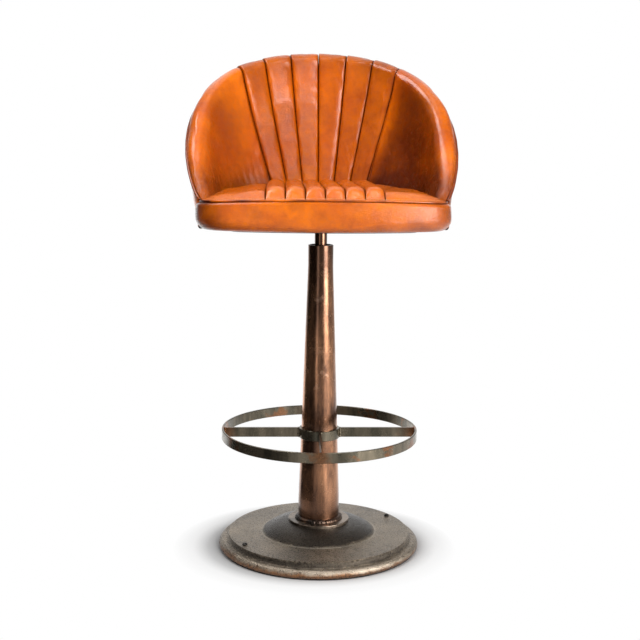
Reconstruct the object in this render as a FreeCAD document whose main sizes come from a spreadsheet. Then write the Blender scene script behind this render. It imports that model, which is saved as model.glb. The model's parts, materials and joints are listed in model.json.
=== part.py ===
"""Swivel counter stool with a fluted tub seat on a tapered column, a ring footrest and a round cast base.

The origin is on the floor under the column's axis. Z points up and the stool faces -Y. Lengths are in
millimetres. The seat with everything above the column turns about Z; the rest stands still.
"""
import FreeCAD, Part
import math
import os
from types import SimpleNamespace

import Sketcher
from FreeCAD import Placement, Rotation, Vector

SIZES = {
    # Cast base and what it holds
    "pad_thickness": 2.0,
    "pad_radius": 190.0,
    "base_radius": 196.0,
    "base_foot_radius": 190.5,
    "base_lip_height": 18.0,
    "base_lip_radius": 182.0,
    "base_disc_radius": 177.0,
    "base_disc_edge_height": 29.5,
    "base_dome_radius": 111.0,
    "base_dome_height": 31.0,
    "base_hub_radius": 60.5,
    "base_hub_height": 52.0,
    "base_dome_curve_radius": 100.0,
    "base_lip_round": 9.5,
    "base_cove_radius": 11.0,
    "base_cove_rise": 0.5,
    "base_top_edge": 7.0,
    "base_disc_wall": 10.5,
    "base_hub_wall": 13.0,
    "base_hub_side_wall": 8.0,
    "base_roof_drop": 1.5,
    "base_hollow_radius": 173.0,
    "base_bolt_hole_radius": 8.6,
    "ballast_thickness": 11.0,
    "ballast_clearance": 0.4,
    "ballast_bore_radius": 58.0,
    "ballast_screw_circle": 166.0,
    "ballast_screw_angle": 30.5,
    "ballast_screw_radius": 2.5,
    "ballast_head_radius": 4.8,
    "ballast_head_height": 4.2,
    "ballast_nut_radius": 4.6,
    "ballast_nut_height": 2.8,
    "screw_clearance": 0.3,
    "screw_hole_clearance": 0.1,
    # Column
    "flange_radius": 59.5,
    "flange_thickness": 5.0,
    "flange_edge": 1.2,
    "column_foot_radius": 40.0,
    "column_foot_length": 43.0,
    "column_neck_radius": 24.2,
    "column_neck_height": 555.0,
    "column_top": 597.0,
    "column_wall": 3.0,
    "column_top_edge": 0.6,
    "weld_leg": 6.5,
    "foot_plug_thickness": 16.0,
    "fit_clearance": 0.1,
    "column_bolt_radius": 8.0,
    "column_washer_radius": 16.0,
    "column_washer_thickness": 3.0,
    "column_bolt_head_radius": 13.0,
    "column_bolt_head_height": 10.0,
    # Swivel bearing in the column's neck
    "housing_wall": 5.0,
    "housing_bottom": 455.0,
    "housing_top": 594.0,
    "housing_floor_thickness": 6.0,
    "upper_bush_length": 34.0,
    "lower_bush_length": 24.0,
    "lower_bush_bottom": 482.0,
    "running_clearance": 0.05,
    "race_thickness": 2.0,
    "race_clearance": 0.35,
    "ball_radius": 2.0,
    "ball_circle": 9.5,
    "ball_count": 8,
    "ball_clearance": 0.02,
    "spindle_radius": 11.8,
    "circlip_outer_radius": 14.0,
    "circlip_groove_radius": 10.6,
    "circlip_thickness": 1.2,
    "circlip_drop": 4.0,
    # Ring footrest
    "ring_radius": 190.0,
    "ring_bar_thickness": 4.2,
    "ring_bar_height": 19.5,
    "ring_top": 239.3,
    "ring_edge": 0.8,
    "collar_radius": 39.5,
    "collar_clearance": 0.05,
    "spoke_thickness": 4.5,
    "spoke_count": 4,
    # Seat underside
    "hub_radius": 17.0,
    "hub_bottom": 620.0,
    "plate_thickness": 6.0,
    "plate_half_width": 75.0,
    "plate_corner": 12.0,
    "plate_hole_spacing": 59.0,
    "plate_screw_radius": 3.0,
    "plate_screw_head_radius": 6.0,
    "plate_screw_head_height": 3.4,
    "under_board_thickness": 3.0,
    "under_board_side_inset": 57.0,
    "under_board_back": 150.0,
    "under_board_inset": 20.0,
    "under_board_corner": 26.0,
    # Seat
    "seat_bottom": 638.0,
    "seat_half_width": 222.0,
    "seat_front_radius": 600.0,
    "seat_front_depth": 225.0,
    "seat_corner_radius": 62.0,
    "seat_board_thickness": 18.0,
    "seat_board_edge": 5.0,
    "seat_foam_top": 683.5,
    "band_thickness": 4.0,
    "band_start_angle": 9.5,
    "welt_height": 692.5,
    "welt_drop": 8.0,
    "welt_radius": 2.6,
    "welt_inset": 1.6,
    "soft_gap": 0.3,
    "board_gap": 2.4,
    "panel_gap": 2.4,
    "seat_crown": 710.0,
    "seat_panel_edge": 694.0,
    "seat_flute_width": 34.5,
    "seat_flute_depth": 5.5,
    "seat_front_roll": 34.0,
    "seat_side_fall": 0.9,
    "seat_top_bow": 1.5,
    "seat_back_fall": 3.0,
    "panel_start_angle": 12.5,
    "panel_bow_share": 0.03,
    "flutes_per_side": 3,
    # Tub back: foot line of the wall, rim line of the roll
    "wall_overhang": 6.0,
    "wall_back_depth": 205.0,
    "wall_side_bow": 765.0,
    "wall_reach": 150.0,
    "wall_inner_reach": 117.5,
    "wall_thickness": 47.0,
    "rim_flare": 3.0,
    "rim_back_depth": 241.0,
    "rim_front_depth": 272.0,
    "rim_top_height": 948.5,
    "rim_end_height": 680.0,
    "rim_end_angle": 118.0,
    "rim_shoulder": 0.34,
    "roll_radius": 21.0,
    "fan_share": 0.655,
    "fan_power": 3.0,
    "arm_start_angle": 96.0,
    "back_flute_angle": 14.6,
    "back_flute_depth": 6.0,
    "back_flute_crown": 1.0,
    "shell_thickness": 12.0,
    "cover_thickness": 2.0,
    "hem_height": 8.0,
    "hem_turn": 6.0,
    "piping_radius": 2.5,
    "shell_screw_radius": 2.2,
    "shell_screw_head_radius": 4.2,
    "shell_screw_length": 34.0,
    "shell_screw_sink": 3.3,
    "shell_screw_angle_step": 35.4,
    "wing_sections": 12,
}

doc = FreeCAD.newDocument("SwivelCounterStool")
sheet = doc.addObject("Spreadsheet::Sheet", "Sizes")
for row, (alias, value) in enumerate(SIZES.items(), start=1):
    sheet.set("A%d" % row, alias.replace("_", " "))
    sheet.set("B%d" % row, str(value))
    sheet.setAlias("B%d" % row, alias)
doc.recompute()


class Size:
    """A length as a number, with the expression that ties it to the sheet."""

    def __init__(self, number, text):
        self.number = float(number)
        self.text = text

    def __float__(self):
        return self.number

    def __add__(self, other):
        other = as_size(other)
        return Size(self.number + other.number, "(%s + %s)" % (self.text, other.text))

    def __sub__(self, other):
        other = as_size(other)
        return Size(self.number - other.number, "(%s - %s)" % (self.text, other.text))

    def __mul__(self, share):
        other = as_size(share)
        return Size(self.number * other.number, "(%s * %s)" % (self.text, other.text))

    def __truediv__(self, share):
        other = as_size(share)
        return Size(self.number / other.number, "(%s / %s)" % (self.text, other.text))

    def __neg__(self):
        return Size(-self.number, "(-1 * %s)" % self.text)


def as_size(value):
    return value if isinstance(value, Size) else Size(value, repr(float(value)))


# The sheet's cells, once as bound sizes and once as plain numbers
cell = SimpleNamespace(**{alias: Size(sheet.get(alias), "Sizes." + alias) for alias in SIZES})
mm = SimpleNamespace(**{alias: float(sheet.get(alias)) for alias in SIZES})

nodes = []

# The front arc's centre, and the half widths of the tub wall at its foot and at its rim
seat_front_centre = cell.seat_front_radius - cell.seat_front_depth
wall_half_width = mm.seat_half_width + mm.wall_overhang
rim_half_width = wall_half_width + mm.rim_flare


def bind(thing, **properties):
    """Ties properties of an object to sizes of the sheet."""
    for name, value in properties.items():
        thing.setExpression(name.replace("__", "."), as_size(value).text)


# Sketched and turned pieces

def origin_feature(body, role):
    return next(f for f in body.Origin.OriginFeatures if f.Role == role)


def minor_arc(start, end, radius):
    """The arc of under a half circle from start to end. It turns left where the radius is positive."""
    chord = end - start
    left = Vector(-chord.y, chord.x, 0).normalize()
    rise = math.sqrt(radius ** 2 - (chord.Length / 2) ** 2)
    centre = (start + end) / 2 + left * math.copysign(rise, radius)
    first, last = (start, end) if radius > 0 else (end, start)
    angles = [math.atan2(p.y - centre.y, p.x - centre.x) for p in (first, last)]
    circle = Part.Circle(centre, Vector(0, 0, 1), abs(radius))
    return Part.ArcOfCircle(circle, angles[0], angles[1])


def tie_distance(sketch, kind, segment, end, value):
    """Fixes one coordinate of a corner: on the axis where it is nought, else by a bound distance."""
    if float(value) == 0.0:
        axis = -2 if kind == "DistanceX" else -1
        sketch.addConstraint(Sketcher.Constraint("PointOnObject", segment, end, axis))
        return
    index = sketch.addConstraint(Sketcher.Constraint(kind, segment, end, float(value)))
    sketch.setExpression("Constraints[%d]" % index, as_size(value).text)


def outline(sketch, corners):
    """Closed outline through corners (x, y). A third number is the radius of the arc to the next corner."""
    points = [Vector(float(c[0]), float(c[1]), 0) for c in corners]
    ends = []
    for i, corner in enumerate(corners):
        start, end = points[i], points[(i + 1) % len(points)]
        if len(corner) == 2:
            segment = sketch.addGeometry(Part.LineSegment(start, end), False)
            ends.append((segment, 1, 2))
            continue
        segment = sketch.addGeometry(minor_arc(start, end, float(corner[2])), False)
        ends.append((segment, 1, 2) if float(corner[2]) > 0 else (segment, 2, 1))
    for i, corner in enumerate(corners):
        segment, start, _ = ends[i]
        before, _, before_end = ends[i - 1]
        sketch.addConstraint(Sketcher.Constraint("Coincident", before, before_end, segment, start))
        tie_distance(sketch, "DistanceX", segment, start, corner[0])
        tie_distance(sketch, "DistanceY", segment, start, corner[1])
        if len(corner) == 3:
            radius = as_size(corner[2])
            radius = radius if radius.number > 0 else -radius
            index = sketch.addConstraint(Sketcher.Constraint("Radius", segment, radius.number))
            sketch.setExpression("Constraints[%d]" % index, radius.text)


def new_body(label):
    body = doc.addObject("PartDesign::Body", label)
    body.Label = label
    nodes.append(body)
    return body


def sketch_on(body, name, role):
    sketch = body.newObject("Sketcher::SketchObject", name)
    sketch.AttachmentSupport = (origin_feature(body, role), [""])
    sketch.MapMode = "FlatFace"
    return sketch


def turned(label, corners):
    """A body turned about Z from an outline in radius and height."""
    body = new_body(label)
    sketch = sketch_on(body, label + "_profile", "XZ_Plane")
    outline(sketch, corners)
    turn = body.newObject("PartDesign::Revolution", label + "_turn")
    turn.Profile = sketch
    turn.ReferenceAxis = (sketch, ["V_Axis"])
    turn.Angle = 360
    return body


def ring(label, inner, outer, bottom, top):
    """A plain turned ring, disc or bush."""
    return turned(label, [(inner, bottom), (outer, bottom), (outer, top), (inner, top)])


def padded_plate(label, corners, bottom, thickness):
    """A flat plate: an outline in X and Y, raised from its bottom."""
    body = new_body(label)
    sketch = sketch_on(body, label + "_outline", "XY_Plane")
    outline(sketch, corners)
    bind(sketch, AttachmentOffset__Base__z=bottom)
    pad = body.newObject("PartDesign::Pad", label + "_pad")
    pad.Profile = sketch
    bind(pad, Length=thickness)
    return body, pad


def upright_edges(shape):
    """Names of the straight edges that run along Z."""
    names = []
    for number, edge in enumerate(shape.Edges, start=1):
        first, last = edge.Vertexes[0].Point, edge.Vertexes[-1].Point
        if abs(first.x - last.x) < 1e-6 and abs(first.y - last.y) < 1e-6:
            names.append("Edge%d" % number)
    return names


def round_corners(body, base, radius):
    doc.recompute()
    fillet = body.newObject("PartDesign::Fillet", body.Label + "_corners")
    fillet.Base = (base, upright_edges(base.Shape))
    bind(fillet, Radius=radius)
    return fillet


def drill(body, name, x, y, radius):
    """A round hole right through a body along Z."""
    sketch = sketch_on(body, name, "XY_Plane")
    round_hole = Part.Circle(Vector(float(x), float(y), 0), Vector(0, 0, 1), float(radius))
    circle = sketch.addGeometry(round_hole, False)
    tie_distance(sketch, "DistanceX", circle, 3, x)
    tie_distance(sketch, "DistanceY", circle, 3, y)
    index = sketch.addConstraint(Sketcher.Constraint("Radius", circle, float(radius)))
    sketch.setExpression("Constraints[%d]" % index, as_size(radius).text)
    pocket = body.newObject("PartDesign::Pocket", name + "_hole")
    pocket.Profile = sketch
    pocket.Type = 1
    pocket.Midplane = True
    return pocket


def pattern_about_z(body, feature, count):
    pattern = body.newObject("PartDesign::PolarPattern", feature.Name + "_ring")
    pattern.Originals = [feature]
    pattern.Axis = (origin_feature(body, "Z_Axis"), [""])
    pattern.Angle = 360
    pattern.Occurrences = count
    body.Tip = pattern
    return pattern


def shaped(label, shape):
    """A sub-part whose shape is worked out by this file's own functions."""
    part = doc.addObject("Part::Feature", label)
    part.Label = label
    part.Shape = shape
    nodes.append(part)
    return part


def on_circle(radius, degrees):
    angle = math.radians(degrees)
    return Vector(radius * math.cos(angle), radius * math.sin(angle), 0)


def hexagon_prism(corner_radius, bottom, height):
    corners = [on_circle(corner_radius, 60 * k) + Vector(0, 0, bottom) for k in range(7)]
    return Part.Face(Part.makePolygon(corners)).extrude(Vector(0, 0, height))


# Cast base, hollow below, with its ballast plate and the full-size pad it stands on

base_bottom = cell.pad_thickness
roof_height = cell.base_dome_height - cell.base_disc_wall - cell.base_roof_drop
hub_roof = cell.base_hub_height - cell.base_hub_wall


def make_base():
    lip_mid = cell.base_lip_height / 2
    casting = turned("base_casting", [
        (cell.base_bolt_hole_radius, hub_roof),
        (cell.base_hub_radius - cell.base_hub_side_wall, hub_roof),
        (cell.base_dome_radius, roof_height),
        (cell.base_hollow_radius, roof_height),
        (cell.base_hollow_radius + 2, base_bottom),
        (cell.base_foot_radius, base_bottom, cell.base_lip_round),
        (cell.base_radius, lip_mid, cell.base_lip_round),
        (cell.base_radius - cell.base_top_edge, cell.base_lip_height),
        (cell.base_lip_radius, cell.base_lip_height + cell.base_cove_rise, -cell.base_cove_radius),
        (cell.base_disc_radius, cell.base_disc_edge_height),
        (cell.base_dome_radius, cell.base_dome_height, cell.base_dome_curve_radius),
        (cell.base_hub_radius, cell.base_hub_height),
        (cell.base_bolt_hole_radius, cell.base_hub_height),
    ])
    turned("floor_pad", [
        (0, 0),
        (cell.pad_radius, 0),
        (cell.pad_radius, cell.pad_thickness),
        (0, cell.pad_thickness),
    ])
    ballast_top = roof_height - cell.ballast_clearance
    plate = ring("ballast_plate", cell.ballast_bore_radius, cell.base_hollow_radius - 1.0,
                 ballast_top - cell.ballast_thickness, ballast_top)
    angle = math.radians(mm.ballast_screw_angle)
    for body in (casting, plate):
        hole = drill(body, body.Label + "_screw", cell.ballast_screw_circle * math.cos(angle),
                     cell.ballast_screw_circle * math.sin(angle),
                     cell.ballast_screw_radius + cell.screw_clearance)
        pattern_about_z(body, hole, 2)


def screw_spots():
    """The two screws stand opposite each other on the disc's sloping top."""
    return [on_circle(mm.ballast_screw_circle, mm.ballast_screw_angle + turn) for turn in (0, 180)]


def make_ballast_fasteners():
    slope = (mm.base_dome_height - mm.base_disc_edge_height) / (mm.base_disc_radius - mm.base_dome_radius)
    seat = (mm.base_disc_edge_height + slope * (mm.base_disc_radius - mm.ballast_screw_circle)
            + mm.screw_clearance)
    plate_bottom = float(roof_height) - mm.ballast_clearance - mm.ballast_thickness
    nut_bottom = plate_bottom - mm.ballast_nut_height
    screws = []
    nuts = []
    for spot in screw_spots():
        shank_bottom = nut_bottom + 0.2
        shank = Part.makeCylinder(mm.ballast_screw_radius, seat - shank_bottom, Vector(0, 0, shank_bottom))
        rim = Part.makeCylinder(mm.ballast_head_radius, mm.ballast_head_height * 0.4, Vector(0, 0, seat))
        dome_base = seat + mm.ballast_head_height * 0.4
        dome_height = mm.ballast_head_height * 0.6
        dome_radius = (mm.ballast_head_radius ** 2 + dome_height ** 2) / (2 * dome_height)
        ball = Part.makeSphere(dome_radius, Vector(0, 0, dome_base + dome_height - dome_radius))
        column = Part.makeCylinder(mm.ballast_head_radius, dome_height + 1, Vector(0, 0, dome_base))
        screw = shank.fuse(rim).fuse(ball.common(column)).removeSplitter()
        screw.translate(spot)
        screws.append(screw)
        nut = hexagon_prism(mm.ballast_nut_radius, nut_bottom, mm.ballast_nut_height)
        bore = Part.makeCylinder(mm.ballast_screw_radius, mm.ballast_nut_height, Vector(0, 0, nut_bottom))
        nut = nut.cut(bore)
        nut.translate(spot)
        nuts.append(nut)
    shaped("ballast_screws", Part.makeCompound(screws))
    shaped("ballast_nuts", Part.makeCompound(nuts))


# Column: flange, tapered tube, foot plug and the one big bolt that draws it down on the base

flange_top = cell.base_hub_height + cell.flange_thickness
column_shoulder = flange_top + cell.column_foot_length


def column_radius_at(height):
    """Outside radius of the tapered tube at a height on its cone."""
    share = (height - column_shoulder) / (cell.column_neck_height - column_shoulder)
    return cell.column_foot_radius - (cell.column_foot_radius - cell.column_neck_radius) * share


def make_column():
    wall = cell.column_wall
    turned("column_flange", [
        (cell.column_bolt_radius + cell.screw_clearance, cell.base_hub_height),
        (cell.flange_radius, cell.base_hub_height),
        (cell.flange_radius, flange_top - cell.flange_edge, cell.flange_edge),
        (cell.flange_radius - cell.flange_edge, flange_top),
        (cell.column_bolt_radius + cell.screw_clearance, flange_top),
    ])
    turned("column_tube", [
        (cell.column_foot_radius - wall, flange_top),
        (cell.column_foot_radius, flange_top),
        (cell.column_foot_radius, column_shoulder),
        (cell.column_neck_radius, cell.column_neck_height),
        (cell.column_neck_radius, cell.column_top - cell.column_top_edge),
        (cell.column_neck_radius - cell.column_top_edge, cell.column_top),
        (cell.column_neck_radius - wall, cell.column_top),
        (cell.column_neck_radius - wall, cell.column_neck_height),
        (cell.column_foot_radius - wall, column_shoulder),
    ])
    turned("column_weld_bead", [
        (cell.column_foot_radius, flange_top),
        (cell.column_foot_radius + cell.weld_leg, flange_top, -cell.weld_leg * 2),
        (cell.column_foot_radius, flange_top + cell.weld_leg),
    ])
    ring("column_foot_plug", cell.column_bolt_radius,
         cell.column_foot_radius - wall - cell.fit_clearance,
         flange_top, flange_top + cell.foot_plug_thickness)
    ring("column_bolt_washer", cell.column_bolt_radius + cell.screw_clearance, cell.column_washer_radius,
         hub_roof - cell.column_washer_thickness, hub_roof)
    head_top = float(hub_roof) - mm.column_washer_thickness
    shank_length = float(flange_top) + mm.foot_plug_thickness - 1.0 - head_top
    head = hexagon_prism(mm.column_bolt_head_radius, head_top - mm.column_bolt_head_height,
                         mm.column_bolt_head_height)
    shank = Part.makeCylinder(mm.column_bolt_radius, shank_length, Vector(0, 0, head_top))
    shaped("column_bolt", head.fuse(shank))


# Swivel bearing: a housing pressed into the column's neck, two bushes and a ball thrust bearing

housing_outer = cell.column_neck_radius - cell.column_wall - cell.fit_clearance
housing_inner = housing_outer - cell.housing_wall
housing_floor_top = cell.housing_bottom + cell.housing_floor_thickness
ball_centre = housing_floor_top + cell.race_thickness + cell.ball_radius + cell.ball_clearance
upper_race_bottom = ball_centre + cell.ball_radius + cell.running_clearance
spindle_foot = upper_race_bottom + cell.race_thickness
circlip_top = cell.lower_bush_bottom - cell.circlip_drop
plate_bottom = cell.seat_bottom - cell.under_board_thickness - cell.plate_thickness


def make_bearing():
    ring("bearing_housing", housing_inner, housing_outer, cell.housing_bottom, cell.housing_top)
    turned("housing_floor", [
        (0, cell.housing_bottom),
        (housing_inner - 0.05, cell.housing_bottom),
        (housing_inner - 0.05, housing_floor_top),
        (0, housing_floor_top),
    ])
    bush_bore = cell.spindle_radius + cell.running_clearance
    ring("upper_bush", bush_bore, housing_inner - 0.02,
         cell.housing_top - cell.upper_bush_length, cell.housing_top)
    ring("lower_bush", bush_bore, housing_inner - 0.02,
         cell.lower_bush_bottom, cell.lower_bush_bottom + cell.lower_bush_length)
    race_outer = housing_inner - cell.race_clearance
    ring("thrust_race_lower", cell.ball_circle - 4.5, race_outer,
         housing_floor_top, housing_floor_top + cell.race_thickness)
    ring("thrust_race_upper", cell.ball_circle - 4.5, race_outer, upper_race_bottom, spindle_foot)
    balls = []
    for k in range(int(mm.ball_count)):
        spot = on_circle(mm.ball_circle, 360 * k / mm.ball_count)
        balls.append(Part.makeSphere(mm.ball_radius, spot + Vector(0, 0, float(ball_centre))))
    shaped("thrust_balls", Part.makeCompound(balls))


def make_spindle():
    groove_bottom = circlip_top - cell.circlip_thickness
    turned("spindle", [
        (0, spindle_foot),
        (cell.spindle_radius - 1, spindle_foot),
        (cell.spindle_radius, spindle_foot + 1),
        (cell.spindle_radius, groove_bottom - 0.1),
        (cell.circlip_groove_radius, groove_bottom - 0.1),
        (cell.circlip_groove_radius, circlip_top + 0.1),
        (cell.spindle_radius, circlip_top + 0.1),
        (cell.spindle_radius, plate_bottom + cell.plate_thickness),
        (0, plate_bottom + cell.plate_thickness),
    ])
    body = ring("spindle_circlip", cell.circlip_groove_radius + 0.05, cell.circlip_outer_radius,
                groove_bottom, circlip_top)
    # A wedge is left out of the circlip, so that it can be sprung over the spindle
    sketch = sketch_on(body, "circlip_gap", "XY_Plane")
    reach = cell.circlip_outer_radius + 2
    outline(sketch, [(0, 0), (reach, -reach * 0.45), (reach, reach * 0.45)])
    pocket = body.newObject("PartDesign::Pocket", "circlip_gap_cut")
    pocket.Profile = sketch
    pocket.Type = 1
    pocket.Midplane = True


# Ring footrest: a hoop of flat bar, four flat spokes on edge and a collar bored to the column's cone

ring_bottom = cell.ring_top - cell.ring_bar_height


def make_footrest():
    inner = cell.ring_radius - cell.ring_bar_thickness
    edge = cell.ring_edge
    turned("foot_ring_hoop", [
        (inner + edge, ring_bottom),
        (cell.ring_radius - edge, ring_bottom),
        (cell.ring_radius, ring_bottom + edge),
        (cell.ring_radius, cell.ring_top - edge),
        (cell.ring_radius - edge, cell.ring_top),
        (inner + edge, cell.ring_top),
        (inner, cell.ring_top - edge),
        (inner, ring_bottom + edge),
    ])
    turned("foot_ring_collar", [
        (column_radius_at(ring_bottom) + cell.collar_clearance, ring_bottom),
        (cell.collar_radius - edge, ring_bottom),
        (cell.collar_radius, ring_bottom + edge),
        (cell.collar_radius, cell.ring_top - edge),
        (cell.collar_radius - edge, cell.ring_top),
        (column_radius_at(cell.ring_top) + cell.collar_clearance, cell.ring_top),
    ])
    half = mm.spoke_thickness / 2
    outer_end = math.sqrt((mm.ring_radius - mm.ring_bar_thickness) ** 2 - half ** 2)
    for k in range(int(mm.spoke_count)):
        bar = doc.addObject("Part::Box", "foot_ring_spoke_%d" % (k + 1))
        bar.Label = "foot_ring_spoke_%d" % (k + 1)
        length = Size(outer_end, "(sqrt((Sizes.ring_radius - Sizes.ring_bar_thickness)^2"
                                 " - (Sizes.spoke_thickness / 2)^2))") - cell.collar_radius
        bind(bar, Length=length, Width=cell.spoke_thickness, Height=cell.ring_bar_height - cell.ring_edge)
        turn = Rotation(Vector(0, 0, 1), -90 + 360 * k / mm.spoke_count)
        start = turn.multVec(Vector(mm.collar_radius, -half, 0))
        bar.Placement = Placement(Vector(start.x, start.y, float(ring_bottom) + mm.ring_edge / 2), turn)
        nodes.append(bar)


# Under the seat: hub and plate welded to the spindle, a black board above the plate, four screws

def make_underside():
    hub_bore = cell.spindle_radius
    turned("seat_hub", [
        (hub_bore, cell.hub_bottom),
        (cell.hub_radius - 2, cell.hub_bottom),
        (cell.hub_radius, cell.hub_bottom + 2),
        (cell.hub_radius, plate_bottom),
        (hub_bore, plate_bottom),
    ])
    half = cell.plate_half_width
    body, pad = padded_plate("seat_plate", [(-half, -half), (half, -half), (half, half), (-half, half)],
                             plate_bottom, cell.plate_thickness)
    round_corners(body, pad, cell.plate_corner)
    drill(body, "plate_bore", 0, 0, cell.spindle_radius)
    hole = drill(body, "plate_screw_hole", cell.plate_hole_spacing, cell.plate_hole_spacing,
                 cell.plate_screw_radius + cell.screw_clearance)
    pattern_about_z(body, hole, 4)
    front_radius = cell.seat_front_radius - cell.under_board_inset
    wide = cell.seat_half_width - cell.under_board_side_inset
    drop = Size(math.sqrt(float(front_radius) ** 2 - float(wide) ** 2),
                "sqrt(%s^2 - %s^2)" % (front_radius.text, wide.text))
    front = seat_front_centre - drop
    back = cell.under_board_back
    body, pad = padded_plate("underside_board",
                             [(-wide, front, front_radius), (wide, front), (wide, back), (-wide, back)],
                             cell.seat_bottom - cell.under_board_thickness, cell.under_board_thickness)
    round_corners(body, pad, cell.under_board_corner)
    hole = drill(body, "underside_screw_hole", cell.plate_hole_spacing, cell.plate_hole_spacing,
                 cell.plate_screw_radius + cell.screw_clearance)
    pattern_about_z(body, hole, 4)
    screws = [plate_screw(spot, mm.plate_screw_radius) for spot in plate_spots()]
    shaped("seat_plate_screws", Part.makeCompound(screws))


def plate_spots():
    spacing = mm.plate_hole_spacing
    return [Vector(x, y, 0) for x in (-spacing, spacing) for y in (-spacing, spacing)]


def plate_screw(spot, radius):
    """Pan-head screw from below, into the seat board."""
    seat = float(plate_bottom)
    head = Part.makeCylinder(mm.plate_screw_head_radius, mm.plate_screw_head_height,
                             Vector(0, 0, seat - mm.plate_screw_head_height))
    length = mm.plate_thickness + mm.under_board_thickness + mm.seat_board_thickness - 3.0
    screw = head.fuse(Part.makeCylinder(radius, length, Vector(0, 0, seat)))
    screw.translate(spot)
    return screw


# Tub wall. Each section lies in the slanted plane through the wall's inner foot, its outer foot and the
# roll's centre at the rim, so the sections fan out as the flutes do.

class Section:
    """One section of the tub wall. u runs outwards from the outer foot and w up the slanted plane."""

    def __init__(self, angle):
        outer = self.foot(angle, 0.0, mm.wall_reach)
        inner = self.foot(angle, mm.wall_thickness, mm.wall_inner_reach)
        self.origin = outer
        self.out = (outer - inner).normalize()
        lean = self.rim(angle) - outer
        self.up = (lean - self.out * lean.dot(self.out)).normalize()
        self.depth = (outer - inner).Length
        self.centre_u = lean.dot(self.out)
        self.centre_w = lean.dot(self.up)
        self.outer_angle = self.tangent_angle(0.0, mm.roll_radius, 1)
        self.inner_angle = self.tangent_angle(-self.depth, mm.roll_radius, -1)
        # What runs along the rim crosses this slanted plane at a skew, so its section is that much taller
        ahead = (self.rim(angle + 0.5) - self.rim(angle - 0.5)).normalize()
        self.skew = 1 / abs(ahead.dot(self.out.cross(self.up)))

    def rim(self, angle):
        """Centre of the roll: two half ellipses in plan, falling from the back to the arms' ends."""
        turn = math.radians(angle)
        level = math.cos(math.pi / 2 * abs(angle) / mm.rim_end_angle)
        rise = level * (1 + mm.rim_shoulder * (1 - level))
        depth = mm.rim_front_depth if abs(angle) > 90 else mm.rim_back_depth
        return Vector(rim_half_width * math.sin(turn), depth * math.cos(turn),
                      mm.rim_end_height + (mm.rim_top_height - mm.rim_end_height) * rise)

    def foot(self, angle, inset, reach):
        """Foot of the wall: half an ellipse behind, then arms that run forward to their reach."""
        half_width = wall_half_width - inset
        side = abs(angle)
        if side <= mm.arm_start_angle:
            catch_up = (90 / mm.arm_start_angle - mm.fan_share) * (side / mm.arm_start_angle) ** mm.fan_power
            turn = math.radians(angle * (mm.fan_share + catch_up))
            depth = mm.wall_back_depth - inset
            return Vector(half_width * math.sin(turn), depth * math.cos(turn), mm.seat_bottom)
        y = -reach * (side - mm.arm_start_angle) / (mm.rim_end_angle - mm.arm_start_angle)
        x = math.copysign(half_width * math.sqrt(1 - (y / mm.wall_side_bow) ** 2), angle)
        return Vector(x, y, mm.seat_bottom)

    def tangent_angle(self, foot_u, radius, side):
        """Slope of the line from the foot that touches the roll, on its outer (1) or inner (-1) side."""
        across = self.centre_u - foot_u
        reach = math.hypot(across, self.centre_w)
        return math.atan2(self.centre_w, across) - side * math.asin(radius / reach)

    def point(self, u, w):
        return self.origin + self.out * u + self.up * w

    def outer_u(self, w, inset=0.0):
        """The outer wall line moved inwards by an inset."""
        return w / math.tan(self.outer_angle) - inset / math.sin(self.outer_angle)

    def inner_u(self, w, inset=0.0):
        """The inner wall line moved into the wall by an inset."""
        return -self.depth + w / math.tan(self.inner_angle) + inset / math.sin(self.inner_angle)

    def w_at(self, height):
        return (height - mm.seat_bottom) / self.up.z

    def roll_point(self, degrees, radius):
        angle = math.radians(degrees)
        return (self.centre_u + radius * math.cos(angle), self.centre_w + radius * math.sin(angle))


def wire_of(edges):
    return Part.Wire(Part.__sortEdges__(edges))


def polygon_wire(points):
    return Part.makePolygon(list(points) + [points[0]])


def slab_wire(section, inset, thickness, top, wrapped):
    """Section of a layer of the wall, seen from the outer face inwards, with its foot turned in.

    A wrapped layer, such as the outer leather, turns in on both its sides, and a board only outside.
    """
    corners = [(inset + mm.hem_turn, 0.0), (inset, mm.hem_height), (inset, top), (inset + thickness, top)]
    if wrapped:
        corners += [(inset + thickness, mm.hem_height), (inset + thickness + mm.hem_turn, 0.0)]
    else:
        corners += [(inset + thickness, 0.0)]
    return polygon_wire([section.point(section.outer_u(w, depth), w) for depth, w in corners])


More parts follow.
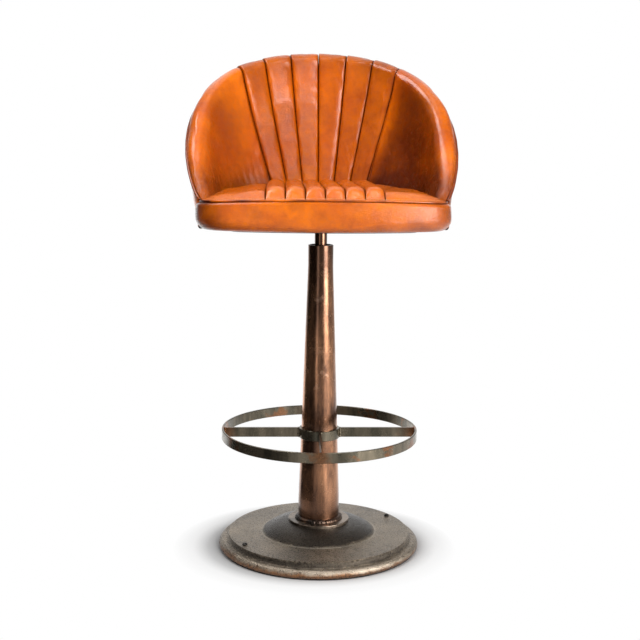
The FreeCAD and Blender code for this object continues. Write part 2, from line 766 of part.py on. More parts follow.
def pad_wire(section, swell):
    """Section of the padding: up the inner face, over the roll and back to the shell.

    swell moves the padded face out from its mean line; below nought it is drawn in, as at a seam. The
    roll's radius eases from the swollen one at the inner face to the plain one at the piping.
    """
    gap = mm.soft_gap
    shell_inset = mm.cover_thickness + gap
    shell_top = section.centre_w + gap
    bottom = section.w_at(mm.seat_bottom + mm.seat_board_thickness + gap)
    start_degrees = math.degrees(section.inner_angle) + 90
    piping_degrees = math.degrees(2 * mm.piping_radius * section.skew / mm.roll_radius)
    end_degrees = math.degrees(section.outer_angle) - 90 + piping_degrees + 3

    def rolled(share):
        degrees = start_degrees + (end_degrees - start_degrees) * share
        return section.point(*section.roll_point(degrees, mm.roll_radius + swell * (1 - share)))

    roll = [rolled(share) for share in (0, 0.25, 0.5, 0.75, 1)]
    foot = section.point(section.inner_u(bottom, -swell), bottom)
    outer_heel = section.point(section.outer_u(shell_top, shell_inset), shell_top)
    inner_heel = section.point(section.outer_u(shell_top, shell_inset + mm.shell_thickness + gap), shell_top)
    back_foot = section.point(section.outer_u(bottom, shell_inset + mm.shell_thickness + gap), bottom)
    return Part.Wire([
        Part.LineSegment(foot, roll[0]).toShape(),
        Part.Arc(roll[0], roll[1], roll[2]).toShape(),
        Part.Arc(roll[2], roll[3], roll[4]).toShape(),
        Part.LineSegment(roll[4], outer_heel).toShape(),
        Part.LineSegment(outer_heel, inner_heel).toShape(),
        Part.LineSegment(inner_heel, back_foot).toShape(),
        Part.LineSegment(back_foot, foot).toShape(),
    ])


def mirrored(shape):
    return shape.mirror(Vector(0, 0, 0), Vector(1, 0, 0))


def wing_angle(share):
    """Angle at a share of the plain wing, which runs from the outer flute's seam to the arm's end."""
    seam = mm.back_flute_angle * mm.flutes_per_side
    return seam + (mm.rim_end_angle - seam) * share


def wall_angles():
    """Angles of the sections of what runs all round the wall, from the left arm to the right one."""
    halves = 2 * int(mm.flutes_per_side)
    right = [mm.back_flute_angle * k / 2 for k in range(halves)]
    steps = int(mm.wing_sections)
    right += [wing_angle(k / steps) for k in range(steps + 1)]
    return [-angle for angle in reversed(right[1:])] + right


def crown_share(share):
    """Half-round crown across a flute: nought at its seams and one in its middle."""
    return math.sqrt(max(1 - (2 * share - 1) ** 2, 0.0))


def shell_screw(section, radius, head_radius):
    """Countersunk wood screw from the shell's outer face, level, into the seat board's edge."""
    height = section.w_at(mm.seat_bottom + mm.seat_board_thickness / 2)
    face = section.point(section.outer_u(height, mm.cover_thickness + mm.soft_gap), height)
    inwards = section.out * -1
    start = face + inwards * mm.shell_screw_sink
    shank = Part.makeCylinder(radius, mm.shell_screw_length - mm.shell_screw_sink, start, inwards)
    head = Part.makeCone(head_radius, radius, head_radius - radius, start, inwards)
    return shank.fuse(head)


def shell_screw_angles():
    return [k * mm.shell_screw_angle_step for k in (-3, -2, -1, 0, 1, 2, 3)]


def make_back():
    gap = mm.soft_gap
    inset = mm.cover_thickness + gap
    sections = [Section(angle) for angle in wall_angles()]
    slabs = [slab_wire(s, inset, mm.shell_thickness, s.centre_w, False) for s in sections]
    shell = Part.makeLoft(slabs, True, False)
    screws = []
    for angle in shell_screw_angles():
        section = Section(angle)
        screws.append(shell_screw(section, mm.shell_screw_radius, mm.shell_screw_head_radius))
        height = section.w_at(mm.seat_bottom + mm.seat_board_thickness / 2)
        mouth = section.point(section.outer_u(height), height)
        head_radius = mm.shell_screw_head_radius + mm.screw_hole_clearance
        sink = Part.makeCylinder(head_radius, inset + mm.shell_screw_sink, mouth, section.out * -1)
        hole = shell_screw(section, mm.shell_screw_radius + mm.screw_hole_clearance, head_radius)
        shell = shell.cut(hole).cut(sink)
    shaped("back_shell", shell)
    shaped("shell_screws", Part.makeCompound(screws))

    seam = mm.back_flute_angle
    swells = []
    for step in (0, 0.25, 0.5, 0.75, 1):
        swell = -mm.back_flute_depth + (mm.back_flute_depth + mm.back_flute_crown) * crown_share(step)
        swells.append((step, swell))
    per_side = int(mm.flutes_per_side)
    right = []
    for k in range(per_side):
        wires = [pad_wire(Section(seam * (k + step)), swell) for step, swell in swells]
        right.append(Part.makeLoft(wires, True, False))
    for k in range(per_side):
        shaped("back_flute_%d" % (k + 1), mirrored(right[per_side - 1 - k]))
    for k in range(per_side):
        shaped("back_flute_%d" % (per_side + k + 1), right[k])

    steps = int(mm.wing_sections)
    plan = [(0, -mm.back_flute_depth), (0.02, -0.3 * mm.back_flute_depth)]
    plan += [(k / steps, 0.0) for k in range(1, steps)]
    plan += [(1.0, -0.1 * mm.roll_radius)]
    wing = Part.makeLoft([pad_wire(Section(wing_angle(share)), swell) for share, swell in plan], True, False)
    shaped("back_wing_left", mirrored(wing))
    shaped("back_wing_right", wing)

    cover_wires = []
    piping_spots = []
    for s in sections:
        top = s.centre_w + mm.roll_radius * math.sin(s.outer_angle - math.pi / 2)
        cover_wires.append(slab_wire(s, 0.0, mm.cover_thickness, top, True))
        spot = top + (mm.piping_radius + gap) * s.skew
        piping_spots.append(s.point(s.outer_u(spot, inset - mm.piping_radius - gap), spot))
    shaped("back_cover", Part.makeLoft(cover_wires, True, False))
    shaped("back_piping", tube_through(piping_spots, [s.out for s in sections], mm.piping_radius))


def tube_through(spots, sides, radius):
    """A tube through spots: round sections of three arcs, square to the line and turned to the sides."""
    wires = []
    for i, spot in enumerate(spots):
        ahead = spots[min(i + 1, len(spots) - 1)] - spots[max(i - 1, 0)]
        ahead.normalize()
        side = (sides[i] - ahead * sides[i].dot(ahead)).normalize()
        above = ahead.cross(side).normalize()
        corners = [spot + side * (radius * math.cos(a)) + above * (radius * math.sin(a))
                   for a in [math.radians(60 * k) for k in range(7)]]
        wires.append(Part.Wire([Part.Arc(corners[k], corners[k + 1], corners[(k + 2) % 6]).toShape()
                                for k in (0, 2, 4)]))
    return Part.makeLoft(wires, True, False)


# Seat: board, foam, front band and welt, six flutes and two plain panels on top

def corner_centre_y():
    """Centre along Y of the seat's front corner rounds, which touch the front arc from inside."""
    across = mm.seat_half_width - mm.seat_corner_radius
    reach = mm.seat_front_radius - mm.seat_corner_radius
    return float(seat_front_centre) - math.sqrt(reach ** 2 - across ** 2)


def front_y(x, inset):
    return float(seat_front_centre) - math.sqrt((mm.seat_front_radius - inset) ** 2 - x ** 2)


def corner_point(degrees, inset):
    """Point on the right front corner round, from its widest point at 0 degrees towards the front."""
    angle = math.radians(degrees)
    radius = mm.seat_corner_radius - inset
    return Vector(mm.seat_half_width - mm.seat_corner_radius + radius * math.cos(angle),
                  corner_centre_y() - radius * math.sin(angle), 0)


def corner_end_degrees():
    """Where the corner round meets the front arc."""
    across = mm.seat_half_width - mm.seat_corner_radius
    return 90 - math.degrees(math.atan2(across, float(seat_front_centre) - corner_centre_y()))


def seat_front_edges(start_degrees, inset):
    """Corner round, front arc and corner round, from the right side to the left."""
    end = corner_end_degrees()
    a, b, c = [corner_point(d, inset) for d in (start_degrees, (start_degrees + end) / 2, end)]
    front = Vector(0, front_y(0, inset), 0)

    def flip(p):
        return Vector(-p.x, p.y, p.z)

    return [
        Part.Arc(a, b, c).toShape(),
        Part.Arc(c, front, flip(c)).toShape(),
        Part.Arc(flip(c), flip(b), flip(a)).toShape(),
    ]


def inner_wall_point(angle, height, inset=0.0):
    section = Section(angle)
    w = section.w_at(height)
    return section.point(section.inner_u(w, -inset), w)


def wall_point_where(axis, value, height, inset):
    """Point of the inner wall at a height whose x (axis 0) or y (axis 1) is given, by halving the angle."""
    low, high = 0.0, mm.rim_end_angle
    for _ in range(30):
        middle = (low + high) / 2
        point = inner_wall_point(middle, height, inset)
        beyond = point[0] > value if axis == 0 else point[1] < value
        low, high = (low, middle) if beyond else (middle, high)
    return inner_wall_point((low + high) / 2, height, inset)


def wall_point_at_y(y):
    """Outer foot of the right arm where it runs forward past y."""
    low, high = 0.0, mm.rim_end_angle
    for _ in range(30):
        middle = (low + high) / 2
        low, high = (low, middle) if Section(middle).origin.y < y else (middle, high)
    return Section((low + high) / 2).origin


def seat_outline(half_width, back_depth, heel, start_degrees, inset):
    """Closed outline: half ellipse behind, straight sides to the heels, corner rounds and front arc."""
    wide, deep, middle = Vector(half_width, 0, 0), Vector(0, back_depth, 0), Vector(0, 0, 0)
    if half_width > back_depth:
        edges = [Part.ArcOfEllipse(Part.Ellipse(wide, deep, middle), 0, math.pi).toShape()]
    else:
        edges = [Part.ArcOfEllipse(Part.Ellipse(deep, wide * -1, middle), -math.pi / 2, math.pi / 2).toShape()]
    side = Vector(half_width, 0, 0)
    start = corner_point(start_degrees, inset)
    for sign in (1, -1):
        stops = [Vector(sign * p.x, p.y, 0) for p in (side, heel, start)]
        edges.append(Part.LineSegment(stops[0], stops[1]).toShape())
        edges.append(Part.LineSegment(stops[1], stops[2]).toShape())
    edges += seat_front_edges(start_degrees, inset)
    return Part.Face(wire_of(edges))


def raised(face, bottom, top):
    face.translate(Vector(0, 0, bottom))
    return face.extrude(Vector(0, 0, top - bottom))


def welt_z(x):
    return mm.welt_height - mm.welt_drop * (x / mm.seat_half_width) ** 2


def make_seat_base():
    board_top = mm.seat_bottom + mm.seat_board_thickness
    inset = mm.band_thickness + mm.soft_gap
    shell_inset = mm.cover_thickness + mm.shell_thickness + mm.board_gap
    end = Section(mm.rim_end_angle)
    back = Section(0.0)
    heel = end.point(end.outer_u(0.0, shell_inset), 0.0)
    heel_degrees = math.degrees(math.acos(
        (heel.x - mm.seat_half_width + mm.seat_corner_radius) / (mm.seat_corner_radius - inset)))
    board_depth = back.point(back.outer_u(0.0, shell_inset), 0.0).y
    side_x = wall_point_at_y(0.0).x - shell_inset
    board = raised(seat_outline(side_x, board_depth, heel, heel_degrees, inset), mm.seat_bottom, board_top)
    under_edges = [e for e in board.Edges if e.BoundBox.ZMax < mm.seat_bottom + 0.01]
    board = board.makeFillet(mm.seat_board_edge, under_edges)
    for angle in shell_screw_angles():
        board = board.cut(shell_screw(Section(angle), mm.shell_screw_radius + mm.screw_hole_clearance,
                                      mm.shell_screw_head_radius))
    for spot in plate_spots():
        board = board.cut(plate_screw(spot, mm.plate_screw_radius + mm.screw_hole_clearance))
    shaped("seat_board", board)

    low = board_top + mm.soft_gap
    clearance = mm.back_flute_crown + 3 * mm.soft_gap
    wall_back = inner_wall_point(0.0, low).y - clearance
    wall_side = wall_point_where(1, 0.0, low, 0.0).x - clearance
    wall_end = inner_wall_point(mm.rim_end_angle, low)
    heel = Vector(wall_end.x - clearance, wall_end.y - clearance, 0)
    foam = seat_outline(wall_side, wall_back, heel, mm.panel_start_angle, inset)
    shaped("seat_foam", raised(foam, low, mm.seat_foam_top))

    outer = seat_front_edges(mm.band_start_angle, 0.0)
    inner = seat_front_edges(mm.band_start_angle, mm.band_thickness)
    ends = []
    for sign in (1, -1):
        pair = [corner_point(mm.band_start_angle, i) for i in (0.0, mm.band_thickness)]
        ends.append(Part.LineSegment(Vector(sign * pair[0].x, pair[0].y, 0),
                                     Vector(sign * pair[1].x, pair[1].y, 0)).toShape())
    band = raised(Part.Face(wire_of(outer + inner + ends)), mm.seat_bottom - 1.0, mm.welt_height)
    # The band's top edge falls towards the corners, as a very large drum lying along Y
    drum_radius = mm.seat_half_width ** 2 / (2 * mm.welt_drop)
    drum_top = mm.welt_height - mm.welt_radius - mm.soft_gap
    drum = Part.makeCylinder(drum_radius, 2 * mm.seat_front_depth,
                             Vector(0, -1.5 * mm.seat_front_depth, drum_top - drum_radius), Vector(0, 1, 0))
    shaped("seat_band", band.common(drum))

    spots = []
    end_degrees = corner_end_degrees()
    for k in range(6):
        degrees = mm.band_start_angle + (end_degrees - mm.band_start_angle) * k / 5
        spots.append(corner_point(degrees, mm.welt_inset))
    edge_x = spots[-1].x
    for k in range(1, 9):
        x = edge_x * (1 - k / 4)
        spots.append(Vector(x, front_y(x, mm.welt_inset), 0))
    spots += [Vector(-p.x, p.y, 0) for p in reversed(spots[:5])]
    spots = [Vector(p.x, p.y, welt_z(p.x)) for p in spots]
    shaped("seat_welt", tube_through(spots, [Vector(0, 0, 1)] * len(spots), mm.welt_radius))


def panel_inset():
    return mm.welt_inset + mm.welt_radius + 3 * mm.soft_gap


def seat_flute_wire(x, drop):
    """Section of a seat flute at x: level below, a rolled front and a gently crowned top."""
    floor = mm.seat_foam_top + mm.soft_gap
    start = front_y(x, panel_inset())
    back = wall_point_where(0, x, mm.seat_crown, mm.back_flute_crown + mm.soft_gap)
    back_low = wall_point_where(0, x, floor, mm.back_flute_crown + mm.soft_gap)
    middle = inner_wall_point(0.0, floor)
    back_y = min(back_low.y, min(back.y, middle.y) - 1.5 * mm.back_flute_crown)
    lip = welt_z(x) + mm.soft_gap
    top = mm.seat_crown - drop
    shoulder = start + mm.seat_front_roll
    rise = top - lip

    def spot(y, z):
        return Vector(x, y, z)

    return Part.Wire([
        Part.LineSegment(spot(back_y, floor), spot(start, floor)).toShape(),
        Part.LineSegment(spot(start, floor), spot(start, lip)).toShape(),
        Part.Arc(spot(start, lip), spot(start + 0.28 * mm.seat_front_roll, lip + 0.68 * rise),
                 spot(shoulder, top)).toShape(),
        Part.Arc(spot(shoulder, top), spot((shoulder + back_y) / 2, top + mm.seat_top_bow),
                 spot(back_y, top - mm.seat_back_fall)).toShape(),
        Part.LineSegment(spot(back_y, top - mm.seat_back_fall), spot(back_y, floor)).toShape(),
    ])


def seat_panel_wire(y):
    """Section of a plain side panel at y, from the outer seam to the wall or the front corner."""
    floor = mm.seat_foam_top + mm.soft_gap
    inset = panel_inset()
    seam_x = mm.flutes_per_side * mm.seat_flute_width + mm.soft_gap
    wall_end = inner_wall_point(mm.rim_end_angle, floor)
    tip = corner_point(mm.panel_start_angle, inset)
    if y >= wall_end.y - mm.panel_gap:
        edge_x = wall_point_where(1, y, floor, mm.panel_gap).x
        edge_z = mm.seat_panel_edge
    elif y >= tip.y:
        share = (wall_end.y - mm.panel_gap - y) / (wall_end.y - mm.panel_gap - tip.y)
        edge_x = wall_end.x - mm.panel_gap + (tip.x - wall_end.x + mm.panel_gap) * share
        edge_z = mm.seat_panel_edge + (welt_z(edge_x) + mm.soft_gap - mm.seat_panel_edge) * share
    else:
        centre = Vector(mm.seat_half_width - mm.seat_corner_radius, corner_centre_y(), 0)
        radius = mm.seat_corner_radius - inset
        if y > corner_point(corner_end_degrees(), inset).y:
            edge_x = centre.x + math.sqrt(radius ** 2 - (centre.y - y) ** 2)
        else:
            edge_x = math.sqrt((mm.seat_front_radius - inset) ** 2 - (float(seat_front_centre) - y) ** 2)
        edge_z = welt_z(edge_x) + mm.soft_gap
    lip = welt_z(seam_x) + mm.soft_gap
    run = min(max((y - front_y(seam_x, inset)) / mm.seat_front_roll, 0.0), 1.0)
    seam_z = lip + (mm.seat_crown - mm.seat_flute_depth - lip) * math.sin(math.pi / 2 * run)
    bow = mm.panel_bow_share * (edge_x - seam_x)

    def spot(x, z):
        return Vector(x, y, z)

    return Part.Wire([
        Part.LineSegment(spot(seam_x, floor), spot(edge_x, floor)).toShape(),
        Part.LineSegment(spot(edge_x, floor), spot(edge_x, edge_z)).toShape(),
        Part.Arc(spot(edge_x, edge_z), spot((edge_x + seam_x) / 2, (edge_z + seam_z) / 2 + bow),
                 spot(seam_x, seam_z)).toShape(),
        Part.LineSegment(spot(seam_x, seam_z), spot(seam_x, floor)).toShape(),
    ])


def make_seat_top():
    per_side = int(mm.flutes_per_side)
    width = mm.seat_flute_width
    right = []
    for k in range(per_side):
        wires = []
        for step in (0, 0.25, 0.5, 0.75, 1):
            fall = mm.seat_side_fall * k * width / mm.seat_half_width
            drop = mm.seat_flute_depth * (1 - crown_share(step)) + fall
            wires.append(seat_flute_wire((k + step) * width, drop))
        right.append(Part.makeLoft(wires, True, False))
    for k in range(per_side):
        shaped("seat_flute_%d" % (k + 1), mirrored(right[per_side - 1 - k]))
    for k in range(per_side):
        shaped("seat_flute_%d" % (per_side + k + 1), right[k])

    inset = panel_inset()
    seam_x = per_side * width + mm.soft_gap
    front = front_y(seam_x, inset) + 1.5
    back = wall_point_where(0, seam_x + 6.0, mm.seat_foam_top, 2 * mm.soft_gap).y
    corner = corner_point(corner_end_degrees(), inset).y
    tip = corner_point(mm.panel_start_angle, inset).y
    wall_end = inner_wall_point(mm.rim_end_angle, mm.seat_foam_top).y
    stops = [front, (front + corner) / 2, corner, (corner + tip) / 2 - 6, (corner + tip) / 2 + 8, tip]
    stops += [(tip + wall_end) / 2, wall_end]
    stops += [wall_end + (back - wall_end) * share for share in (0.12, 0.3, 0.48, 0.64, 0.78, 0.9, 1.0)]
    panel = Part.makeLoft([seat_panel_wire(y) for y in stops], True, False)
    shaped("seat_panel_left", mirrored(panel))
    shaped("seat_panel_right", panel)


make_base()
make_ballast_fasteners()
make_column()
make_bearing()
make_spindle()
make_footrest()
make_underside()
make_back()
make_seat_base()
make_seat_top()
doc.recompute()

failed = [thing.Label for thing in doc.Objects if "Invalid" in thing.State or "Error" in thing.State]
failed += [node.Label for node in nodes if node.Shape.isNull() or not node.Shape.isValid()]
if failed:
    raise RuntimeError("these did not build: " + ", ".join(failed))

os.makedirs("parts", exist_ok=True)
for node in nodes:
    node.Shape.exportStep("parts/%s.step" % node.Label)
print("%d sub-parts" % len(nodes))
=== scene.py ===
"""Looks of a swivel counter stool: fluted leather tub, bronzed column, ring footrest and cast base.

Lengths are metres and angles degrees. Z points up and the stool faces -Y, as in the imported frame.
"""

import json
import math
from types import SimpleNamespace

import bpy
import numpy as np
from mathutils import Matrix, Vector


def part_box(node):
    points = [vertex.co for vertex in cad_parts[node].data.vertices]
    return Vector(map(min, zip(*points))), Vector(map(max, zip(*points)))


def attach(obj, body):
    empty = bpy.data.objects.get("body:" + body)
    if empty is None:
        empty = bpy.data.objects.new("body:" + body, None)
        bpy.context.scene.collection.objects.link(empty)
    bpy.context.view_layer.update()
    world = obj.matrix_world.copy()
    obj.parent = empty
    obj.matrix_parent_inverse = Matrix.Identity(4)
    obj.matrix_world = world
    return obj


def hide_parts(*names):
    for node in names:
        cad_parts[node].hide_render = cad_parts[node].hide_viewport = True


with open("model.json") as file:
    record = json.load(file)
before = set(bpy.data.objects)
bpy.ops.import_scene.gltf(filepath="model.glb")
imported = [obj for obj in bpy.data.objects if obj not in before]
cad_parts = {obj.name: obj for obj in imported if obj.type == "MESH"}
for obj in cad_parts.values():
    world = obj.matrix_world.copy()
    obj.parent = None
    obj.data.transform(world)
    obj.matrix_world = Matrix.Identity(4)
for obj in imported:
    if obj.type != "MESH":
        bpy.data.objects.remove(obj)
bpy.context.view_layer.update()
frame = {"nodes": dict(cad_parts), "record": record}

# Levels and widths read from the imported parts
SEAT_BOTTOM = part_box("seat_board")[0].z
BOARD_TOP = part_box("seat_board")[1].z
FOAM_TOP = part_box("seat_foam")[1].z
SEAT_HALF_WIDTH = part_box("seat_band")[1].x
SEAT_FRONT = -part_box("seat_band")[0].y

# The tub: foot line and rim line of its wall, with the roll that runs along the rim
TUB = SimpleNamespace(
    half_width=0.228, back_depth=0.205, reach=0.150, inner_reach=0.1175, thickness=0.047, side_bow=0.765,
    rim_half_width=0.231, rim_back_depth=0.241, rim_front_depth=0.272, rim_top=0.9485, rim_end=0.680,
    shoulder=0.34, end_angle=118.0, arm_start=96.0, fan_share=0.655, fan_power=3.0, roll=0.021,
    arm_roll=0.0145, arm_roll_from=90, arm_roll_run=26, shell=0.012, cover=0.002, gap=0.0003,
    piping=0.0025, hem_height=0.008, hem_turn=0.006, hem_foot=0.0009, strip=0.055,
    seam_draw=0.16, draw_from=44)
FLUTE_ANGLE = 14.6
FLUTES_PER_SIDE = 3

# Points along each stretch of a back pad's section, and the shares of its face and its roll
PAD_POINTS = SimpleNamespace(face=50, roll=22, tuck=4, heel=4, back=22, bottom=9)
FACE_SHARE = np.linspace(0, 1, PAD_POINTS.face)
ROLL_SHARE = np.linspace(0, 1, PAD_POINTS.roll + 1)[1:]

# Each flute starts with a tight edge at its left seam and rounds over slowly towards its right one
FLUTE = SimpleNamespace(depth=0.0070, left_round=0.0040, right_round=0.0140, crown=0.0016, slope=0.0040)
SEAM_GAP = 0.0002

# The seat cushion: outline, channels and edge
SEAT = SimpleNamespace(
    front_radius=0.600, corner_radius=0.062, flute_width=0.0345, flute_depth=0.0078, crown=0.7155,
    side_level=0.6990, stitch_inset=0.0120, edge_inset=0.0042, roll=0.034, back_fall=0.006,
    welt_level=0.6925, welt_drop=0.0055, welt_radius=0.0019, welt_inset=0.0021, band_thickness=0.004,
    start_angle=9.5, cushion_start=12.5, edge_round=0.0090, edge_rise=0.0105, corner_round=0.0070,
    corner_rise=0.0110, corner_flare=0.0060, wrap=0.0450, channel_start=0.016)
BOARD_EDGE = 0.0050
FRONT_INSETS = np.array([5.0, 6.4, 8.0, 9.6, 10.8, 12.0, 13.2, 15.0, 17.5, 20.5, 24.0, 28.0, 33.0, 39.0,
                         46.0]) / 1000

# Near its ends, along this run, the front band leans back: by foot below and by foot and top above
BAND_LEAN = SimpleNamespace(foot=0.0015, top=0.0092, run=0.022)

# Rough lengths that spread patterns: round the tub, over its padding and along the seat's outline
TUB_RADIUS = 0.24
PAD_RADIUS = 0.2
OUTLINE_RUN = 0.52

# Cloth that blows the pads out, and how far it may move each kind of them
CLOTH = {
    "quality": 4, "mass": 0.25, "tension_stiffness": 25, "compression_stiffness": 25, "shear_stiffness": 12,
    "bending_stiffness": 1.5, "shrink_min": -0.008, "use_pressure": True, "uniform_pressure_force": 4,
    "vertex_group_mass": "held"}
CLOTH_FRAMES = 20
LIMIT = SimpleNamespace(left_flute=0.0014, right_flute=0.0008, wing=0.0008, seat_flute=0.0009, panel=0.0010)

STITCH = SimpleNamespace(pitch=0.0046, length=0.0032, radius=0.00045, margin=0.004, lift=0.0006)
TUBE_SIDES = 14

CAMERA = SimpleNamespace(
    focal_pixels=1149.7, frame_pixels=640.0, pitch=9.0, height=0.798, distance=2.189, azimuth=2.0,
    roll=0.5, centre_x=320.2, sensor=36.0)

# Share of the white surround that lights the stool
WORLD_LEVEL = 0.14

# Name, azimuth, height, distance, size and power
LAMPS = (
    ("key_right", 26, 2.0, 2.3, (1.6, 1.6), 60),
    ("fill_left", -42, 2.0, 2.2, (0.8, 0.8), 16),
    ("overhead", -12, 2.6, 1.2, (1.1, 1.1), 36),
)
LAMP_AIM = 0.6

# The floor's painted shadow lies a little left of the stool and is shortened in depth; past it all is white
FLOOR = SimpleNamespace(side=12.0, stretch=(1.0, 1.07, 1.0), shift=0.008, shade=(0.190, 0.240),
                        white=(0.210, 0.280), mirrored=(0.24, 0.40), room=2.4)

# The room that glossy surfaces mirror: a wall that goes round by its reach, with brightness by azimuth
ROOM = SimpleNamespace(radius=2.3, height=3.2, reach=150, steps=60, fade=(0.35, 0.9, 1.0, 0.35))
ROOM_LEVELS = ((-150, 0.6), (-130, 0.6), (-121, 0.01), (-36, 0.01), (-25, 0.25), (24, 0.25), (36, 0.75),
               (62, 0.8), (74, 0.55), (122, 0.40), (132, 0.5))

# Its soft box, with ranges over height and reach, a strip at the left and a patch on the ceiling
SOFT_BOX = SimpleNamespace(
    azimuth=(31, 62), edge=0.12, top=1.95, top_edge=0.25, gain=12.5, boost=(1.4, 1.0, 1.0, 1.2),
    foot=(0.20, 0.38, 0.10, 1.0), upper=(1.90, 1.60, 0.0, 8.0), floor_azimuth=(36, 74), floor=2.2,
    left_azimuth=(-33, -20), left=(1.5, 1.2, 0.0, 7.0))
CEILING_BOX = SimpleNamespace(centre=(-1.25, 0.10, 3.2), reach=0.60, edge=0.2, gain=8.0)


# Numbers and arrays

def unit(vectors):
    return vectors / np.linalg.norm(vectors, axis=-1, keepdims=True)


def smooth(x, start=0.0, run=1.0):
    """Smoothstep: 0 at start, 1 a run past it and 3t^2 - 2t^3 between."""
    t = np.clip((x - start) / run, 0.0, 1.0)
    return t * t * (3 - 2 * t)


def bell(x, centre, width):
    """exp(-t^2), with t the distance from the centre in widths."""
    return np.exp(-((x - centre) / width) ** 2)


def fading(x, length):
    """1 at 0 and below, then exp(-x / length)."""
    return np.exp(-np.clip(x, 0, 1) / length)


def join(*parts):
    """Arrays side by side, along their second axis."""
    return np.concatenate(parts, axis=1)


def run_along(points):
    """Length of each path (..., n, axes) up to each of its points."""
    steps = np.linalg.norm(np.diff(points, axis=-2), axis=-1)
    return np.concatenate([np.zeros(steps.shape[:-1] + (1,)), np.cumsum(steps, axis=-1)], axis=-1)


def ripple(x, y, wave, seed):
    """Sum of seven sine waves in random directions with lengths near wave, scaled to about -1 to 1."""
    terms = 7
    rng = np.random.default_rng(seed)
    total = np.zeros(np.broadcast(x, y).shape)
    for _ in range(terms):
        turn, shift = rng.uniform(0, 2 * np.pi, 2)
        length = wave * rng.uniform(0.7, 1.5)
        total += np.sin(2 * np.pi * (x * np.cos(turn) + y * np.sin(turn)) / length + shift)
    return total / math.sqrt(terms)


# Meshes

def new_object(name, data):
    made = bpy.data.objects.new(name, data)
    bpy.context.scene.collection.objects.link(made)
    return made


def grid_quads(rows, columns):
    """Quads of a grid whose last column joins its first."""
    a = np.arange(rows * columns).reshape(rows, columns)
    b = np.roll(a, -1, axis=1)
    return np.stack([a[:-1], b[:-1], b[1:], a[1:]], axis=-1).reshape(-1, 4)


def enclosed(points, faces):
    """Volume inside the faces, below nought where they point inwards."""
    total = 0.0
    for face in faces:
        corners = points[face]
        for k in range(1, corners.shape[1] - 1):
            total += np.einsum("ij,ij->", corners[:, 0], np.cross(corners[:, k], corners[:, k + 1]))
    return total / 6


def add_mesh(name, points, faces, material, fields=None):
    """A smooth-shaded object of quads and triangles that point outwards, with point attributes."""
    if enclosed(points, faces) < 0:
        faces = [f[:, ::-1] for f in faces]
    mesh = bpy.data.meshes.new(name)
    corners = np.concatenate([f.ravel() for f in faces])
    sizes = np.concatenate([np.full(len(f), f.shape[1]) for f in faces])
    starts = np.concatenate([[0], np.cumsum(sizes)[:-1]])
    mesh.vertices.add(len(points))
    mesh.vertices.foreach_set("co", points.astype(np.float32).ravel())
    mesh.loops.add(len(corners))
    mesh.loops.foreach_set("vertex_index", corners.astype(np.int32))
    mesh.polygons.add(len(sizes))
    mesh.polygons.foreach_set("loop_start", starts.astype(np.int32))
    mesh.polygons.foreach_set("use_smooth", np.ones(len(sizes), bool))
    mesh.update(calc_edges=True)
    mesh.validate()
    for field, values in (fields or {}).items():
        kind, key = ("FLOAT_VECTOR", "vector") if values.ndim == 2 else ("FLOAT", "value")
        store = mesh.attributes.new(field, kind, "POINT")
        store.data.foreach_set(key, values.astype(np.float32).ravel())
    mesh.materials.append(material)
    return new_object(name, mesh)


def loft(name, loops, material, fields=None, paired=False):
    """Closed surface through closed loops (rows, columns, 3), with a pole in the middle of each end.

    Where the loops are flat strips, paired closes each end between its face and its back instead.
    """
    rows, columns = loops.shape[:2]
    last_row = (rows - 1) * columns
    points = loops.reshape(-1, 3)
    sides = grid_quads(rows, columns)
    flat = {}
    for field, values in (fields or {}).items():
        values = values.reshape((rows * columns,) + values.shape[2:])
        poles = [] if paired else [values[:1], values[last_row:last_row + 1]]
        flat[field] = np.concatenate([values] + poles)
    if paired:
        k = np.arange(columns // 2 - 1)
        cap = np.stack([k, k + 1, columns - 2 - k, columns - 1 - k], axis=1)
        quads = np.concatenate([sides, cap[:, ::-1], last_row + cap])
        return add_mesh(name, points, [quads], material, flat)
    ends = np.stack([loops[0].mean(axis=0), loops[-1].mean(axis=0)])
    ring = np.arange(columns)
    after = np.roll(ring, -1)
    first = np.stack([after, ring, np.full(columns, rows * columns)], axis=1)
    last = np.stack([last_row + ring, last_row + after, np.full(columns, rows * columns + 1)], axis=1)
    faces = [sides, np.concatenate([first, last])]
    return add_mesh(name, np.concatenate([points, ends]), faces, material, flat)


def tube(name, path, radius, material, fields=None):
    """Round tube along a path (n, 3): a circle carried square to the path, of a radius at each point."""
    ahead = unit(np.gradient(path, axis=0))
    side = unit(np.cross(ahead, (0.0, 0.0, 1.0)))
    above = np.cross(side, ahead)
    turn = np.linspace(0, 2 * np.pi, TUBE_SIDES, endpoint=False)[:, None]
    circle = side[:, None] * np.cos(turn) + above[:, None] * np.sin(turn)
    return loft(name, path[:, None] + radius[:, None, None] * circle, material, fields)


def refine(piece):
    """Catmull-Clark subdivision, alike in view and render."""
    modifier = piece.modifiers.new("refine", "SUBSURF")
    modifier.levels = 1
    modifier.render_levels = 1
    return piece


def settle_in(piece, body, slot, *nodes):
    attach(piece, body)
    if nodes:
        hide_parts(*nodes)


# Materials

